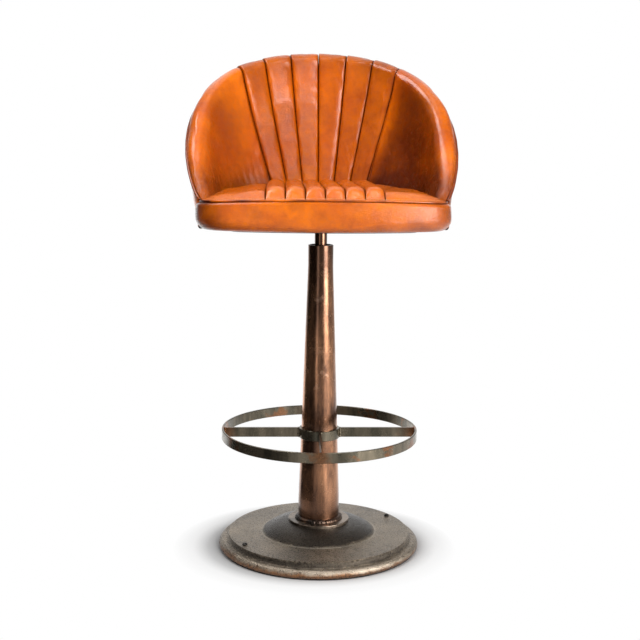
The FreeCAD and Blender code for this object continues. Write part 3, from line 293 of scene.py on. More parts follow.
class Shader:
    """A node material or world, built a node at a time."""

    def __init__(self, name, home=bpy.data.materials):
        self.owner = home.new(name)
        self.owner.use_nodes = True
        self.tree = self.owner.node_tree
        self.surface = self.tree.nodes.get("Principled BSDF")

    def add(self, kind, inputs=None, **settings):
        made = self.tree.nodes.new("ShaderNode" + kind)
        for key, value in settings.items():
            setattr(made, key, value)
        for key, value in (inputs or {}).items():
            self.put(made.inputs[key], value)
        return made

    def put(self, socket, value):
        if isinstance(value, bpy.types.NodeSocket):
            self.tree.links.new(value, socket)
        else:
            socket.default_value = value

    def place(self, stretch=(1.0, 1.0, 1.0), field=None):
        """Object coordinates, or a point attribute of the piece, stretched."""
        if field:
            source = self.add("Attribute", attribute_name=field).outputs["Vector"]
        else:
            source = self.add("TexCoord").outputs["Object"]
        return self.add("Mapping", {"Vector": source, "Scale": stretch}).outputs["Vector"]

    def spot(self):
        """Object coordinates X, Y and Z, and the distance from the Z axis."""
        x, y, z = self.add("SeparateXYZ", {"Vector": self.place()}).outputs
        flat = self.add("CombineXYZ", {"X": x, "Y": y}).outputs[0]
        return x, y, z, self.length(flat)

    def length(self, vector):
        return self.add("VectorMath", {0: vector}, operation="LENGTH").outputs["Value"]

    def noise(self, scale, detail, rough=0.5, where=None, distort=0.0):
        inputs = {"Vector": where or self.place(), "Scale": scale, "Detail": detail, "Roughness": rough,
                  "Distortion": distort}
        return self.add("TexNoise", inputs).outputs["Fac"]

    def cells(self, scale):
        return self.add("TexVoronoi", {"Vector": self.place(), "Scale": scale}).outputs["Distance"]

    def field(self, name):
        return self.add("Attribute", attribute_name=name).outputs["Fac"]

    def range(self, value, low, high, to_low=0.0, to_high=1.0):
        inputs = {"Value": value, "From Min": low, "From Max": high, "To Min": to_low, "To Max": to_high}
        return self.add("MapRange", inputs).outputs["Result"]

    def maths(self, operation, a, b=0.0):
        return self.add("Math", {0: a, 1: b}, operation=operation).outputs[0]

    def times(self, a, b):
        return self.maths("MULTIPLY", a, b)

    def plus(self, a, b):
        return self.maths("ADD", a, b)

    def mix(self, share, a, b):
        """Blend of two colours."""
        made = self.add("Mix", data_type="RGBA")
        self.put(made.inputs[0], share)
        for socket, colour in ((made.inputs[6], a), (made.inputs[7], b)):
            self.put(socket, colour if isinstance(colour, bpy.types.NodeSocket) else (*colour, 1.0))
        return made.outputs[2]

    def bump(self, height, distance, strength, normal=None):
        inputs = {"Height": height, "Distance": distance, "Strength": strength}
        if normal:
            inputs["Normal"] = normal
        return self.add("Bump", inputs).outputs["Normal"]

    def glow(self, strength, colour=(1.0, 1.0, 1.0, 1.0)):
        return self.add("Emission", {"Color": colour, "Strength": strength}).outputs[0]

    def blend(self, share, a, b):
        """Blend of two shaders."""
        return self.add("MixShader", {0: share, 1: a, 2: b}).outputs[0]

    def show(self, shader):
        self.put(self.tree.nodes["Material Output"].inputs["Surface"], shader)
        return self.owner

    def finish(self, colour, roughness, normal, **fixed):
        self.put(self.surface.inputs["Base Color"], colour)
        self.put(self.surface.inputs["Roughness"], roughness)
        self.put(self.surface.inputs["Normal"], normal)
        for key, value in fixed.items():
            self.surface.inputs[key.replace("_", " ")].default_value = value
        return self.owner


def leather(name, bright, deep, burnt_and_shaded, gloss=0.27):
    """Waxed hide: cloudy dye, darker where it is burnished and where painted shade is laid on through the
    same field, pores, fine creases and a glossy coat.
    """
    s = Shader(name)
    clouds = s.noise(11.0, 5.0, 0.60)
    mottle = s.noise(75.0, 5.0, 0.65)
    dye = s.plus(s.range(clouds, 0.36, 0.66, 0.0, 0.56), s.range(mottle, 0.38, 0.68, 0.0, 0.26))
    colour = s.mix(dye, bright, deep)
    # Darkening towards the darkest colour from the point field: real burnish together with painted shade in
    # seams, grooves, hollows, under edges and on sides turned from the light, plus a little mottle.
    wear_and_shade = s.plus(s.field("burnish_and_shade"), s.range(mottle, 0.35, 0.65, -0.04, 0.05))
    colour = s.mix(s.range(wear_and_shade, 0.0, 1.0, 0.0, 0.96), colour, burnt_and_shaded)
    colour = s.mix(s.range(s.cells(760.0), 0.0, 0.18, 0.6, 0.0), colour, burnt_and_shaded)
    folds = s.noise(150.0, 5.0, 0.66, s.place((1.0, 1.6, 1.0), "hide"), 1.2)
    ridges = s.range(s.maths("ABSOLUTE", s.maths("SUBTRACT", folds, 0.5)), 0.0, 0.10)
    folds = s.times(ridges, s.field("crease"))
    normal = s.bump(s.noise(620.0, 4.0, 0.6), 0.00015, 0.4)
    normal = s.bump(folds, 0.0012, 0.8, normal)
    waves = s.noise(34.0, 3.0)
    normal = s.bump(waves, 0.0008, 0.5, normal)
    s.put(s.surface.inputs["Coat Normal"], s.bump(waves, 0.0004, 0.3, s.bump(folds, 0.0006, 0.45)))
    roughness = s.range(mottle, 0.3, 0.75, gloss - 0.05, gloss + 0.12)
    return s.finish(colour, roughness, normal, Coat_Weight=0.85, Coat_Roughness=0.14, Specular_IOR_Level=0.1)


def bronzed(name, dark, warm, pale, wear, gloss, ends=None, joints=None):
    """Bronze patina on steel: dark clouds and streaks over warmer metal, with pale rubbed flecks.

    ends are two levels, below and above which painted shade darkens it. joints is the half width of rusty
    zones on the lines x = 0 and y = 0.
    """
    s = Shader(name)
    streaks = s.noise(24.0, 6.0, 0.65, s.place((1.0, 1.0, 0.22)))
    clouds = s.noise(55.0, 5.0, 0.6)
    colour = s.mix(s.range(streaks, 0.40, 0.58), dark, warm)
    colour = s.mix(s.range(clouds, 0.60, 0.78, 0.0, wear), colour, pale)
    specks = s.noise(420.0, 3.0, 0.6)
    colour = s.mix(s.range(specks, 0.60, 0.75, 0.0, 0.5), colour, dark)
    x, y, z, reach = s.spot()
    # Painted shade towards the column's foot and up under the seat.
    if ends:
        low = s.range(z, ends[0] + 0.05, ends[0] - 0.03)
        high = s.range(z, ends[1] - 0.05, ends[1] + 0.03)
        colour = s.mix(s.times(s.plus(low, high), 0.8), colour, dark)
    if joints:
        off = s.maths("MINIMUM", s.maths("ABSOLUTE", x), s.maths("ABSOLUTE", y))
        off = s.plus(off, s.range(clouds, 0.3, 0.7, -0.6 * joints, 0.6 * joints))
        rust = s.mix(s.range(specks, 0.40, 0.60), (0.30, 0.12, 0.045), (0.16, 0.06, 0.02))
        near = s.times(s.range(off, joints * 1.3, joints * 0.5), s.range(reach, 0.160, 0.180))
        patches = s.times(s.range(s.noise(17.0, 5.0, 0.65), 0.54, 0.60), s.range(reach, 0.150, 0.170))
        colour = s.mix(s.times(s.maths("MAXIMUM", near, patches), 0.75), colour, rust)
    normal = s.bump(specks, 0.0001, 0.25)
    normal = s.bump(clouds, 0.0003, 0.25, normal)
    roughness = s.range(clouds, 0.3, 0.7, gloss - 0.06, gloss + 0.12)
    return s.finish(colour, roughness, normal, Metallic=0.9, Coat_Weight=0.2, Coat_Roughness=0.12)


def cast_iron(name):
    """Rough blackened casting: pitted, with painted shade on the dome and in the front of the cove; at the
    lip rusty, and pale in front from wear and a painted highlight.
    """
    s = Shader(name)
    _, y, height, reach = s.spot()
    pits = s.noise(240.0, 6.0, 0.74)
    clouds = s.noise(16.0, 6.0, 0.65)
    fine = s.noise(560.0, 4.0, 0.7)
    colour = s.mix(s.range(clouds, 0.38, 0.62), (0.070, 0.053, 0.037), (0.228, 0.176, 0.122))
    speck = s.plus(s.range(pits, 0.42, 0.62, 0.0, 0.6), s.range(fine, 0.45, 0.65, 0.0, 0.4))
    colour = s.mix(s.times(speck, 0.62), colour, (0.46, 0.39, 0.30))
    dents = s.range(s.noise(300.0, 4.0, 0.7), 0.46, 0.38, 0.0, 0.85)
    colour = s.mix(dents, colour, (0.030, 0.024, 0.020))
    # Painted shade: the dome under the seat and column goes nearly black.
    dome = s.plus(reach, s.range(clouds, 0.3, 0.7, -0.004, 0.004))
    colour = s.mix(s.range(dome, 0.114, 0.106, 0.0, 0.88), colour, (0.016, 0.012, 0.009))
    # A pale ring round the dome's foot: wear on its edge and a painted highlight.
    crease = s.times(s.range(reach, 0.1085, 0.1110), s.range(reach, 0.1145, 0.1120))
    colour = s.mix(s.times(crease, 0.5), colour, (0.40, 0.35, 0.28))
    # The lip's top is pale at the front only: wear and a painted highlight.
    lip = s.times(s.range(height, 0.0195, 0.0175), s.range(clouds, 0.30, 0.60, 0.30, 1.0))
    lip = s.times(lip, s.range(y, -0.060, -0.175, 0.0, 0.85))
    colour = s.mix(lip, colour, (0.54, 0.45, 0.35))
    rust = s.range(s.plus(height, s.range(clouds, 0.3, 0.7, -0.006, 0.006)), 0.0150, 0.0085)
    rust_colour = s.mix(s.range(pits, 0.40, 0.60), (0.085, 0.036, 0.016), (0.33, 0.140, 0.050))
    colour = s.mix(s.times(rust, 0.90), colour, rust_colour)
    # Painted shade in the cove below the disc's edge, at the front only.
    ragged = s.plus(height, s.range(s.noise(60.0, 5.0, 0.7), 0.3, 0.7, -0.0016, 0.0016))
    cove = s.times(s.range(ragged, 0.0182, 0.0200), s.range(ragged, 0.0305, 0.0260))
    cove = s.times(cove, s.range(y, 0.0, -0.150, 0.0, 0.75))
    colour = s.mix(cove, colour, (0.018, 0.014, 0.011))
    normal = s.bump(fine, 0.0007, 0.7)
    normal = s.bump(pits, 0.0018, 0.8, normal)
    return s.finish(colour, s.range(pits, 0.3, 0.7, 0.22, 0.40), normal, Metallic=0.75)


def plain(name, colour, shade, roughness, scale, distance, metallic=0.0):
    """Simple finish with a soft mottle and a fine bump."""
    s = Shader(name)
    mottle = s.noise(scale, 4.0, 0.6)
    return s.finish(s.mix(s.range(mottle, 0.35, 0.65), colour, shade), roughness,
                    s.bump(s.noise(scale * 6, 3.0), distance, 0.6), Metallic=metallic)


tan = leather("tan_leather", (0.74, 0.160, 0.001), (0.41, 0.052, 0.001), (0.048, 0.004, 0.001))
dark_tan = leather("burnished_leather", (0.26, 0.050, 0.006), (0.12, 0.018, 0.003), (0.03, 0.004, 0.001),
                   0.34)
thread = plain("waxed_thread", (0.72, 0.38, 0.14), (0.46, 0.20, 0.06), 0.6, 900.0, 0.0002)
bronze = bronzed("aged_bronze", (0.11, 0.052, 0.030), (0.47, 0.225, 0.118), (0.62, 0.40, 0.27), 0.40, 0.19,
                 ends=(0.105, 0.555))
flange_bronze = bronzed("iron_bronze", (0.09, 0.070, 0.052), (0.26, 0.20, 0.15), (0.46, 0.38, 0.30), 0.6,
                        0.28)
weld_bronze = bronzed("weld_bronze", (0.03, 0.022, 0.018), (0.12, 0.07, 0.045), (0.50, 0.24, 0.12), 0.6,
                      0.28)
ring_bronze = bronzed("ring_bronze", (0.085, 0.075, 0.052), (0.20, 0.165, 0.115), (0.36, 0.26, 0.17), 0.35,
                      0.28, joints=0.016)
rusty_weld = bronzed("rusty_weld", (0.10, 0.045, 0.02), (0.30, 0.13, 0.05), (0.42, 0.24, 0.12), 0.8, 0.5)
iron = cast_iron("cast_iron")
black_steel = plain("black_oxide", (0.022, 0.020, 0.019), (0.05, 0.045, 0.04), 0.42, 160.0, 0.0002, 0.8)
zinc_steel = plain("zinc_steel", (0.42, 0.42, 0.43), (0.55, 0.55, 0.56), 0.38, 240.0, 0.0001, 1.0)
brass = plain("bearing_bronze", (0.55, 0.36, 0.17), (0.42, 0.26, 0.11), 0.34, 240.0, 0.0001, 1.0)
rubber = plain("black_rubber", (0.020, 0.020, 0.020), (0.035, 0.035, 0.035), 0.75, 300.0, 0.0002)
black_board = plain("black_board", (0.014, 0.013, 0.012), (0.028, 0.026, 0.024), 0.62, 90.0, 0.0003)
plywood = plain("plywood", (0.50, 0.34, 0.19), (0.62, 0.46, 0.29), 0.6, 60.0, 0.0003)
foam = plain("foam", (0.80, 0.74, 0.58), (0.72, 0.65, 0.48), 0.9, 300.0, 0.0006)

FINISH_OF_SLOT = {
    "cast_base": iron, "floor_pad": rubber, "plain_steel": zinc_steel, "dark_steel": black_steel,
    "bronzed_steel": bronze, "weld_metal": weld_bronze, "ring_steel": ring_bronze, "bearing_bronze": brass,
    "spindle_steel": bronze, "black_board": black_board, "plywood": plywood, "foam": foam,
    "tan_leather": tan, "dark_leather": dark_tan,
}

# The seat board's lower side is stained black, and the flange is greyer than the column
FINISH_OF_NODE = {"column_flange": flange_bronze, "seat_board": black_board}


def finish_parts():
    """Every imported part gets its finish."""
    for entry in frame["record"]["subparts"]:
        materials = frame["nodes"][entry["node"]].data.materials
        materials.clear()
        materials.append(FINISH_OF_NODE.get(entry["node"], FINISH_OF_SLOT[entry["material_slot"]]))


# Tub wall, in slanted sections. In each, u runs outwards from the outer foot and w up the section.

def rim_line(angle):
    """Centre of the roll: two half ellipses in plan, falling from the back to the arms' ends."""
    turn = np.radians(angle)
    level = np.cos(np.pi / 2 * np.abs(angle) / TUB.end_angle)
    rise = level * (1 + TUB.shoulder * (1 - level))
    depth = np.where(np.abs(angle) > 90, TUB.rim_front_depth, TUB.rim_back_depth)
    return np.stack([TUB.rim_half_width * np.sin(turn), depth * np.cos(turn),
                     TUB.rim_end + (TUB.rim_top - TUB.rim_end) * rise], axis=-1)


def foot_line(angle, inset, reach):
    """Foot of the wall: half an ellipse behind, then arms that run forward to their reach."""
    half_width = TUB.half_width - inset
    side = np.abs(angle)
    catch_up = (90 / TUB.arm_start - TUB.fan_share) * (side / TUB.arm_start) ** TUB.fan_power
    turn = np.radians(angle * (TUB.fan_share + catch_up))
    forward = -reach * (side - TUB.arm_start) / (TUB.end_angle - TUB.arm_start)
    bowed = np.sign(angle) * half_width * np.sqrt(1 - (forward / TUB.side_bow) ** 2)
    behind = side <= TUB.arm_start
    return np.stack([np.where(behind, half_width * np.sin(turn), bowed),
                     np.where(behind, (TUB.back_depth - inset) * np.cos(turn), forward),
                     np.full(np.shape(angle), SEAT_BOTTOM)], axis=-1)


def wall_at(angle):
    """Sections of the wall at an array of angles; the roll thins along the arms, outer face kept."""
    outer = foot_line(angle, 0.0, TUB.reach)
    inner = foot_line(angle, TUB.thickness, TUB.inner_reach)
    out = unit(outer - inner)
    lean = rim_line(angle) - outer
    u = np.sum(lean * out, axis=-1)
    up = unit(lean - out * u[:, None])
    depth = np.linalg.norm(outer - inner, axis=-1)
    w = np.sum(lean * up, axis=-1)
    outer_angle = np.arctan2(w, u) - np.arcsin(TUB.roll / np.hypot(u, w))
    thinned = smooth(np.abs(angle), TUB.arm_roll_from, TUB.arm_roll_run)
    roll = TUB.roll + (TUB.arm_roll - TUB.roll) * thinned
    u = u + (TUB.roll - roll) * np.sin(outer_angle)
    w = w - (TUB.roll - roll) * np.cos(outer_angle)
    ahead = unit(rim_line(angle + 0.5) - rim_line(angle - 0.5))
    return SimpleNamespace(
        origin=outer, out=out, up=up, depth=depth, u=u, w=w, roll=roll, outer_angle=outer_angle,
        inner_angle=np.arctan2(w, u + depth) + np.arcsin(roll / np.hypot(u + depth, w)),
        skew=1 / np.abs(np.sum(ahead * np.cross(out, up), axis=-1)))


def place(wall, u, w):
    """Points of sections from arrays of u and w (sections, points)."""
    return wall.origin[:, None] + wall.out[:, None] * u[..., None] + wall.up[:, None] * w[..., None]


def outer_u(wall, w, inset):
    angle = wall.outer_angle[:, None]
    return w / np.tan(angle) - inset / np.sin(angle)


def inner_line(angle, level):
    """Where the wall's inner face crosses a level, in plan."""
    wall = wall_at(angle)
    w = ((level - SEAT_BOTTOM) / wall.up[:, 2])[:, None]
    return place(wall, -wall.depth[:, None] + w / np.tan(wall.inner_angle[:, None]), w)[:, 0, :2]


def pad_loops(angle, swell):
    """Sections of the back's padding, whose seams draw together towards the seat.

    swell (sections, points) lifts the face and the roll off their line. A point's angle shrinks by
    seam_draw at the foot and by nothing at the rim, less and less from the flutes to the arms' ends.
    """
    straight, height = plain_pad_loops(angle, swell)
    fade = 1 - smooth(np.abs(angle), TUB.draw_from, TUB.end_angle - TUB.draw_from)
    drawn, _ = plain_pad_loops(angle * (1 - TUB.seam_draw * fade), swell)
    return straight + (drawn - straight) * ((1 - height) ** 2)[..., None]


def plain_pad_loops(angle, swell):
    """Sections in the wall's own slanted planes, and each point's share of the height."""
    wall = wall_at(angle)
    lean = wall.inner_angle[:, None]
    low = ((BOARD_TOP + TUB.gap - SEAT_BOTTOM) / wall.up[:, 2])[:, None]
    high = (wall.w + wall.roll * np.cos(wall.inner_angle))[:, None]
    w = low + (high - low) * FACE_SHARE
    u = -wall.depth[:, None] + w / np.tan(lean)
    on_face = swell[:, :PAD_POINTS.face]
    u = u - on_face * np.sin(lean)
    w = w + on_face * np.cos(lean)
    start = lean + np.pi / 2
    beside = 2 * TUB.piping * wall.skew[:, None] / wall.roll[:, None]
    end = wall.outer_angle[:, None] - np.pi / 2 + beside
    turn = start + (end - start) * ROLL_SHARE
    radius = wall.roll[:, None] + swell[:, PAD_POINTS.face:]
    u = join(u, wall.u[:, None] + radius * np.cos(turn))
    w = join(w, wall.w[:, None] + radius * np.sin(turn))
    inset = TUB.cover + TUB.gap
    top = wall.w[:, None] + TUB.gap
    corners = (
        (outer_u(wall, top, inset), top, PAD_POINTS.tuck),
        (outer_u(wall, top, inset + TUB.shell + TUB.gap), top, PAD_POINTS.heel),
        (outer_u(wall, low, inset + TUB.shell + TUB.gap), low, PAD_POINTS.back),
        (u[:, :1], w[:, :1], PAD_POINTS.bottom),
    )
    for corner_u, corner_w, count in corners:
        share = np.linspace(0, 1, count + 1)[1:]
        u = join(u, u[:, -1:] + (corner_u - u[:, -1:]) * share)
        w = join(w, w[:, -1:] + (corner_w - w[:, -1:]) * share)
    u, w = u[:, :-1], w[:, :-1]
    return place(wall, u, w), np.clip((w - low) / (high - low), 0, 1)


def seamed_loops(angle, swell):
    """Sections of a back pad, its ends drawn in by the seam gap, so that neighbours share no face."""
    loops = pad_loops(angle, swell)
    loops[0] += unit(loops[1] - loops[0]) * SEAM_GAP
    loops[-1] += unit(loops[-2] - loops[-1]) * SEAM_GAP
    return loops


def unswollen(angle):
    """A back pad's shown surface before it swells, each point's share of its height, and its seams' depth.

    The depth is a share of the full one, and lessens over the roll.
    """
    along = np.concatenate([FACE_SHARE * 0.8, 0.8 + ROLL_SHARE * 0.2])
    flat = pad_loops(angle, np.zeros((len(angle), len(along))))[:, :len(along)]
    return flat, along, 1 - 0.80 * smooth(along, 0.76, 0.16)


def edge_share(distance, radius):
    """Quarter ellipse from 0 at an edge to 1 at its radius."""
    return np.sqrt(np.clip(1 - (1 - np.clip(distance / radius, 0, 1)) ** 2, 0, 1))


def crown_of(across, width, left_round, right_round):
    """Height of a flute, 0 at its seams and 1 between, from the distances to both seams."""
    return np.minimum(edge_share(across, left_round), edge_share(width - across, right_round))


# Padded pieces: built to shape, then blown out a little as cloth and held at their seams

pads = []


def hide_fields(across, along, burnish_and_shade, crease):
    """Point attributes of leather: place on the hide, burnishing with painted shade, and creases."""
    nought = np.zeros(burnish_and_shade.shape)
    hide = np.stack([across + nought, along + nought, nought], -1)
    return {"hide": hide, "burnish_and_shade": burnish_and_shade, "crease": crease + nought}


def pad(node, loops, hide, burnish_and_shade, crease, free, limit):
    """A padded piece in a node's place, from its loops and their places across and along the hide.

    burnish, crease and free are for the shown columns. free is 0 where the leather is sewn down.
    """

    def everywhere(values, hidden):
        full = np.full(loops.shape[:2], hidden)
        full[:, :free.shape[1]] = values
        return full

    fields = hide_fields(*hide, everywhere(burnish_and_shade, 1.0), everywhere(crease, 0.0))
    piece = loft(node + "_leather", loops, tan, fields)
    group = piece.vertex_groups.new(name="held")
    hold = np.concatenate([everywhere(1 - free, 1.0).ravel(), [1.0, 1.0]])
    rounded = np.round(hold, 2)
    for value in np.unique(rounded):
        group.add(np.flatnonzero(rounded == value).tolist(), float(value), "REPLACE")
    pads.append(SimpleNamespace(piece=piece, hold=hold, limit=limit))
    settle_in(piece, "seat", "tan_leather", node)


def coordinates(mesh):
    values = np.empty(len(mesh.vertices) * 3, np.float32)
    mesh.vertices.foreach_get("co", values)
    return values.reshape(-1, 3)


def blow_out():
    """Cloth simulation of all the pads at once, with its result capped and kept in their meshes."""
    for item in pads:
        cloth = item.piece.modifiers.new("cloth", "CLOTH")
        for key, value in CLOTH.items():
            setattr(cloth.settings, key, value)
        cloth.settings.effector_weights.gravity = 0
        cloth.collision_settings.use_collision = False
        cloth.point_cache.frame_end = CLOTH_FRAMES
    scene = bpy.context.scene
    for number in range(1, CLOTH_FRAMES + 1):
        scene.frame_set(number)
    graph = bpy.context.evaluated_depsgraph_get()
    moved = [coordinates(item.piece.evaluated_get(graph).data) for item in pads]
    for item, after in zip(pads, moved):
        before = coordinates(item.piece.data)
        step = after - before
        length = np.linalg.norm(step, axis=1, keepdims=True)
        step *= item.limit * np.tanh(length / item.limit) / np.maximum(length, 1e-9)
        step *= (1 - smooth(item.hold))[:, None]
        item.piece.modifiers.remove(item.piece.modifiers["cloth"])
        item.piece.data.vertices.foreach_set("co", (before + step).ravel())
        item.piece.data.update()
    scene.frame_set(1)


def make_back_flutes():
    share = np.concatenate([[0, 0.012, 0.03, 0.055, 0.09], np.linspace(0.14, 0.66, 9),
                            [0.72, 0.78, 0.84, 0.89, 0.93, 0.965, 0.985, 1.0]])
    for number in range(1, 2 * FLUTES_PER_SIDE + 1):
        angle = (number - 1 - FLUTES_PER_SIDE) * FLUTE_ANGLE + share * FLUTE_ANGLE
        flat, along, shallow = unswollen(angle)
        width = np.linalg.norm(flat[-1] - flat[0], axis=1)
        across = np.linalg.norm(flat - flat[0], axis=2)
        crown = crown_of(across, width, FLUTE.left_round, FLUTE.right_round)
        swell = FLUTE.crown - (FLUTE.depth + FLUTE.crown) * (1 - crown)
        swell = (swell - FLUTE.slope * (across / width - 0.35) * crown) * shallow
        swell += 0.0004 * crown * ripple(across, along * 0.35, 0.080, number)
        loops = seamed_loops(angle, swell)
        left_half = number <= FLUTES_PER_SIDE
        # Painted shade darkens the seams' grooves and the whole right half, which is turned from the light;
        # the flutes also darken towards the rim, and the ripple is tone that varies.
        burnish_and_shade = 0.80 * (1 - smooth(crown * 1.2 - 0.02)) + 0.16 * smooth(along, 0.70, 0.1)
        burnish_and_shade = burnish_and_shade + (0.14 if left_half else 0.26 + 0.08 * (number - 4))
        burnish_and_shade = burnish_and_shade + 0.06 * ripple(across, along * 0.35, 0.060, 70 + number)
        below_rim = 0.35 + 0.65 * smooth(along, 0.66, -0.2)
        crease = (1.0 if left_half else 0.35) * smooth(crown * 2 - 1) * below_rim
        free = smooth(crown, 0.25, 0.6) * smooth(along, 0, 0.12) * smooth(1 - along, 0, 0.06)
        hide = (np.radians(angle)[:, None] * PAD_RADIUS, run_along(loops))
        limit = LIMIT.left_flute if left_half else LIMIT.right_flute
        pad("back_flute_%d" % number, loops, hide, burnish_and_shade, crease, free, limit)


def make_back_wings():
    """Plain pads from the flutes to the arms' ends, with folds that rise from the seat."""
    seam = FLUTE_ANGLE * FLUTES_PER_SIDE
    share = np.concatenate([[0, 0.004, 0.010, 0.016, 0.020, 0.025, 0.031, 0.04, 0.055, 0.075],
                            np.linspace(0.10, 0.94, 38), [0.96, 0.975, 0.988, 0.996, 1.0]])
    angle = seam + (TUB.end_angle - seam) * share
    flat, along, shallow = unswollen(angle)
    across = np.linalg.norm(flat - flat[0], axis=2)
    above_seat = flat[..., 2] - SEAT.crown
    end = edge_share((1 - share[:, None]) * 0.22, 0.012)
    # The last value of each kind is painted shade over that wing, much heavier on the right one, which is
    # turned from the light.
    kinds = ((-1, "left", FLUTE.right_round, 0.12), (1, "right", FLUTE.left_round, 0.72))
    for side, word, edge, wear_and_shade in kinds:
        crown = edge_share(across, edge)
        swell = -FLUTE.depth * (1 - crown) * shallow - 0.006 * (1 - end)
        pull = fading(above_seat, 0.035) * smooth(across, 0.01, 0.03)
        folds = np.sin(angle[:, None] * 2 * np.pi / 5.2 + 1.3 * ripple(across, above_seat, 0.09, 31 + side))
        swell = swell + 0.0009 * pull * folds
        swell = swell + 0.0011 * crown * end * ripple(across, above_seat, 0.13, 17 + side)
        fold = bell(across, 0.0046, 0.0009) * smooth(along, 0.02, 0.05)
        loops = seamed_loops(angle, swell - 0.0013 * fold)
        loops[..., 0] *= side
        hollow = bell(across, 0.10, 0.06) * bell(above_seat, 0.10, 0.07)
        # Painted shade: darker by the seam's groove, in the wing's hollow, along the fold, over the wing by
        # its kind's share and just above the seat; the ripple is tone that varies.
        burnish_and_shade = 0.70 * (1 - smooth(crown)) + 0.30 * hollow + 0.5 * fold
        burnish_and_shade = burnish_and_shade + wear_and_shade * smooth(across, -0.02, 0.06) * smooth(along, 0.92, -0.16)
        burnish_and_shade = burnish_and_shade + 0.07 * ripple(across, above_seat, 0.09, 90 + side)
        burnish_and_shade = burnish_and_shade + 0.50 * fading(above_seat, 0.022)
        crease = 0.45 * crown * fading(above_seat, 0.05) + 0.10
        free = smooth(crown, 0.3, 0.6) * smooth(along, 0, 0.15) * smooth(1 - along, 0, 0.06) * end
        hide = (np.radians(angle)[:, None] * PAD_RADIUS, run_along(loops))
        pad("back_wing_" + word, loops, hide, np.clip(burnish_and_shade, 0, 1), crease, free, LIMIT.wing)


def wall_angles(steps):
    return np.linspace(-TUB.end_angle, TUB.end_angle, steps)


def make_back_cover():
    """Outer leather of the tub: a thin skin over the shell, turned in at its foot and under the board.

    In each section the face runs in under the board, round a quarter ellipse at the foot and up to
    the piping, slightly full and with small puckers; the back follows it one leather's thickness in.
    """
    angle = wall_angles(190)
    wall = wall_at(angle)
    top = (wall.w - wall.roll * np.cos(wall.outer_angle))[:, None]
    turn = np.linspace(0, np.pi / 2, 8)
    foot = -TUB.hem_foot / wall.up[:, 2][:, None]
    climb = foot + (TUB.hem_height - foot) * (1 - np.cos(turn))
    above = TUB.hem_height + (top - TUB.hem_height) * np.linspace(0, 1, 31)[1:]
    w = join(climb, above)
    draw = join(TUB.hem_turn * (1 - np.sin(turn)) + 0 * climb, 0 * above)
    full = np.sin(np.pi * np.clip(w / top, 0, 1)) ** 0.7
    around = np.radians(angle)[:, None] * TUB_RADIUS
    bulge = 0.0010 * full + 0.0005 * full * ripple(around, w, 0.12, 5)
    puckers = 0.0004 * ripple(around * 3, w * 0.5, 0.03, 9) * fading(np.minimum(w, top - w), 0.012)
    puckers = puckers * smooth(w / TUB.hem_height)
    under = -np.linspace(TUB.strip, TUB.hem_turn + 0.0015, 7)
    strip = np.broadcast_to(under, (len(angle), len(under)))
    face_u = join(strip, outer_u(wall, w, draw - bulge - puckers))
    face_w = join(foot + 0 * strip, w)
    inner_w = np.maximum(w, foot * 0.12)
    back_u = np.minimum(outer_u(wall, inner_w, draw + TUB.cover), face_u[:, len(under):] - 0.0006)
    back_u = join(strip, back_u)
    back_w = join(foot * 0.12 + 0 * strip, inner_w)
    loops = join(place(wall, face_u, face_w), place(wall, back_u, back_w)[:, ::-1])
    rim = join(np.minimum(face_w, top - face_w), 0 * face_w)
    # Darker along the top and foot edges: burnish, and painted shade where the skin turns in under the piping
    # and the board.
    burnish_and_shade = np.clip(0.6 * fading(rim, 0.006) + 0.08, 0, 1)
    fields = hide_fields(around, np.concatenate([face_w, face_w], axis=1), burnish_and_shade, 0.15)
    piece = loft("back_cover_leather", loops, tan, fields, paired=True)
    settle_in(refine(piece), "seat", "tan_leather", "back_cover")


def make_back_piping():
    """Piping along the tub's outer rim, from one seat corner to the other."""
    angle = wall_angles(220)
    wall = wall_at(angle)
    spot = wall.w - wall.roll * np.cos(wall.outer_angle) + (TUB.piping + TUB.gap) * wall.skew
    path = place(wall, outer_u(wall, spot[:, None], TUB.cover - TUB.piping), spot[:, None])[:, 0]
    wobble = 1 + 0.05 * ripple(np.radians(angle) * TUB_RADIUS, 0.0, 0.02, 3)
    piece = tube("back_piping_leather", path, TUB.piping * wobble, dark_tan)
    settle_in(piece, "seat", "dark_leather", "back_piping")


# Seat cushion

CORNER_X = SEAT_HALF_WIDTH - SEAT.corner_radius
FRONT_CENTRE = SEAT.front_radius - SEAT_FRONT
CORNER_Y = FRONT_CENTRE - math.sqrt((SEAT.front_radius - SEAT.corner_radius) ** 2 - CORNER_X ** 2)
CORNER_END = 90 - math.degrees(math.atan2(CORNER_X, FRONT_CENTRE - CORNER_Y))


def inset_at(x, y):
    """Distance inside the seat's front outline: sides, corner rounds and front arc."""
    x = np.abs(x)
    from_arc = SEAT.front_radius - np.hypot(x, y - FRONT_CENTRE)
    from_corner = SEAT.corner_radius - np.hypot(x - CORNER_X, y - CORNER_Y)
    from_side = SEAT_HALF_WIDTH - x
    beside = (x > CORNER_X) & (x - CORNER_X > (CORNER_Y - y) * math.tan(math.radians(90 - CORNER_END)))
    in_corner = (y < CORNER_Y) & (x > CORNER_X + (y - CORNER_Y) * CORNER_X / (CORNER_Y - FRONT_CENTRE))
    return np.where(y >= CORNER_Y, np.where(beside, from_side, np.minimum(from_side, from_arc)),
                    np.where(in_corner, from_corner, from_arc))


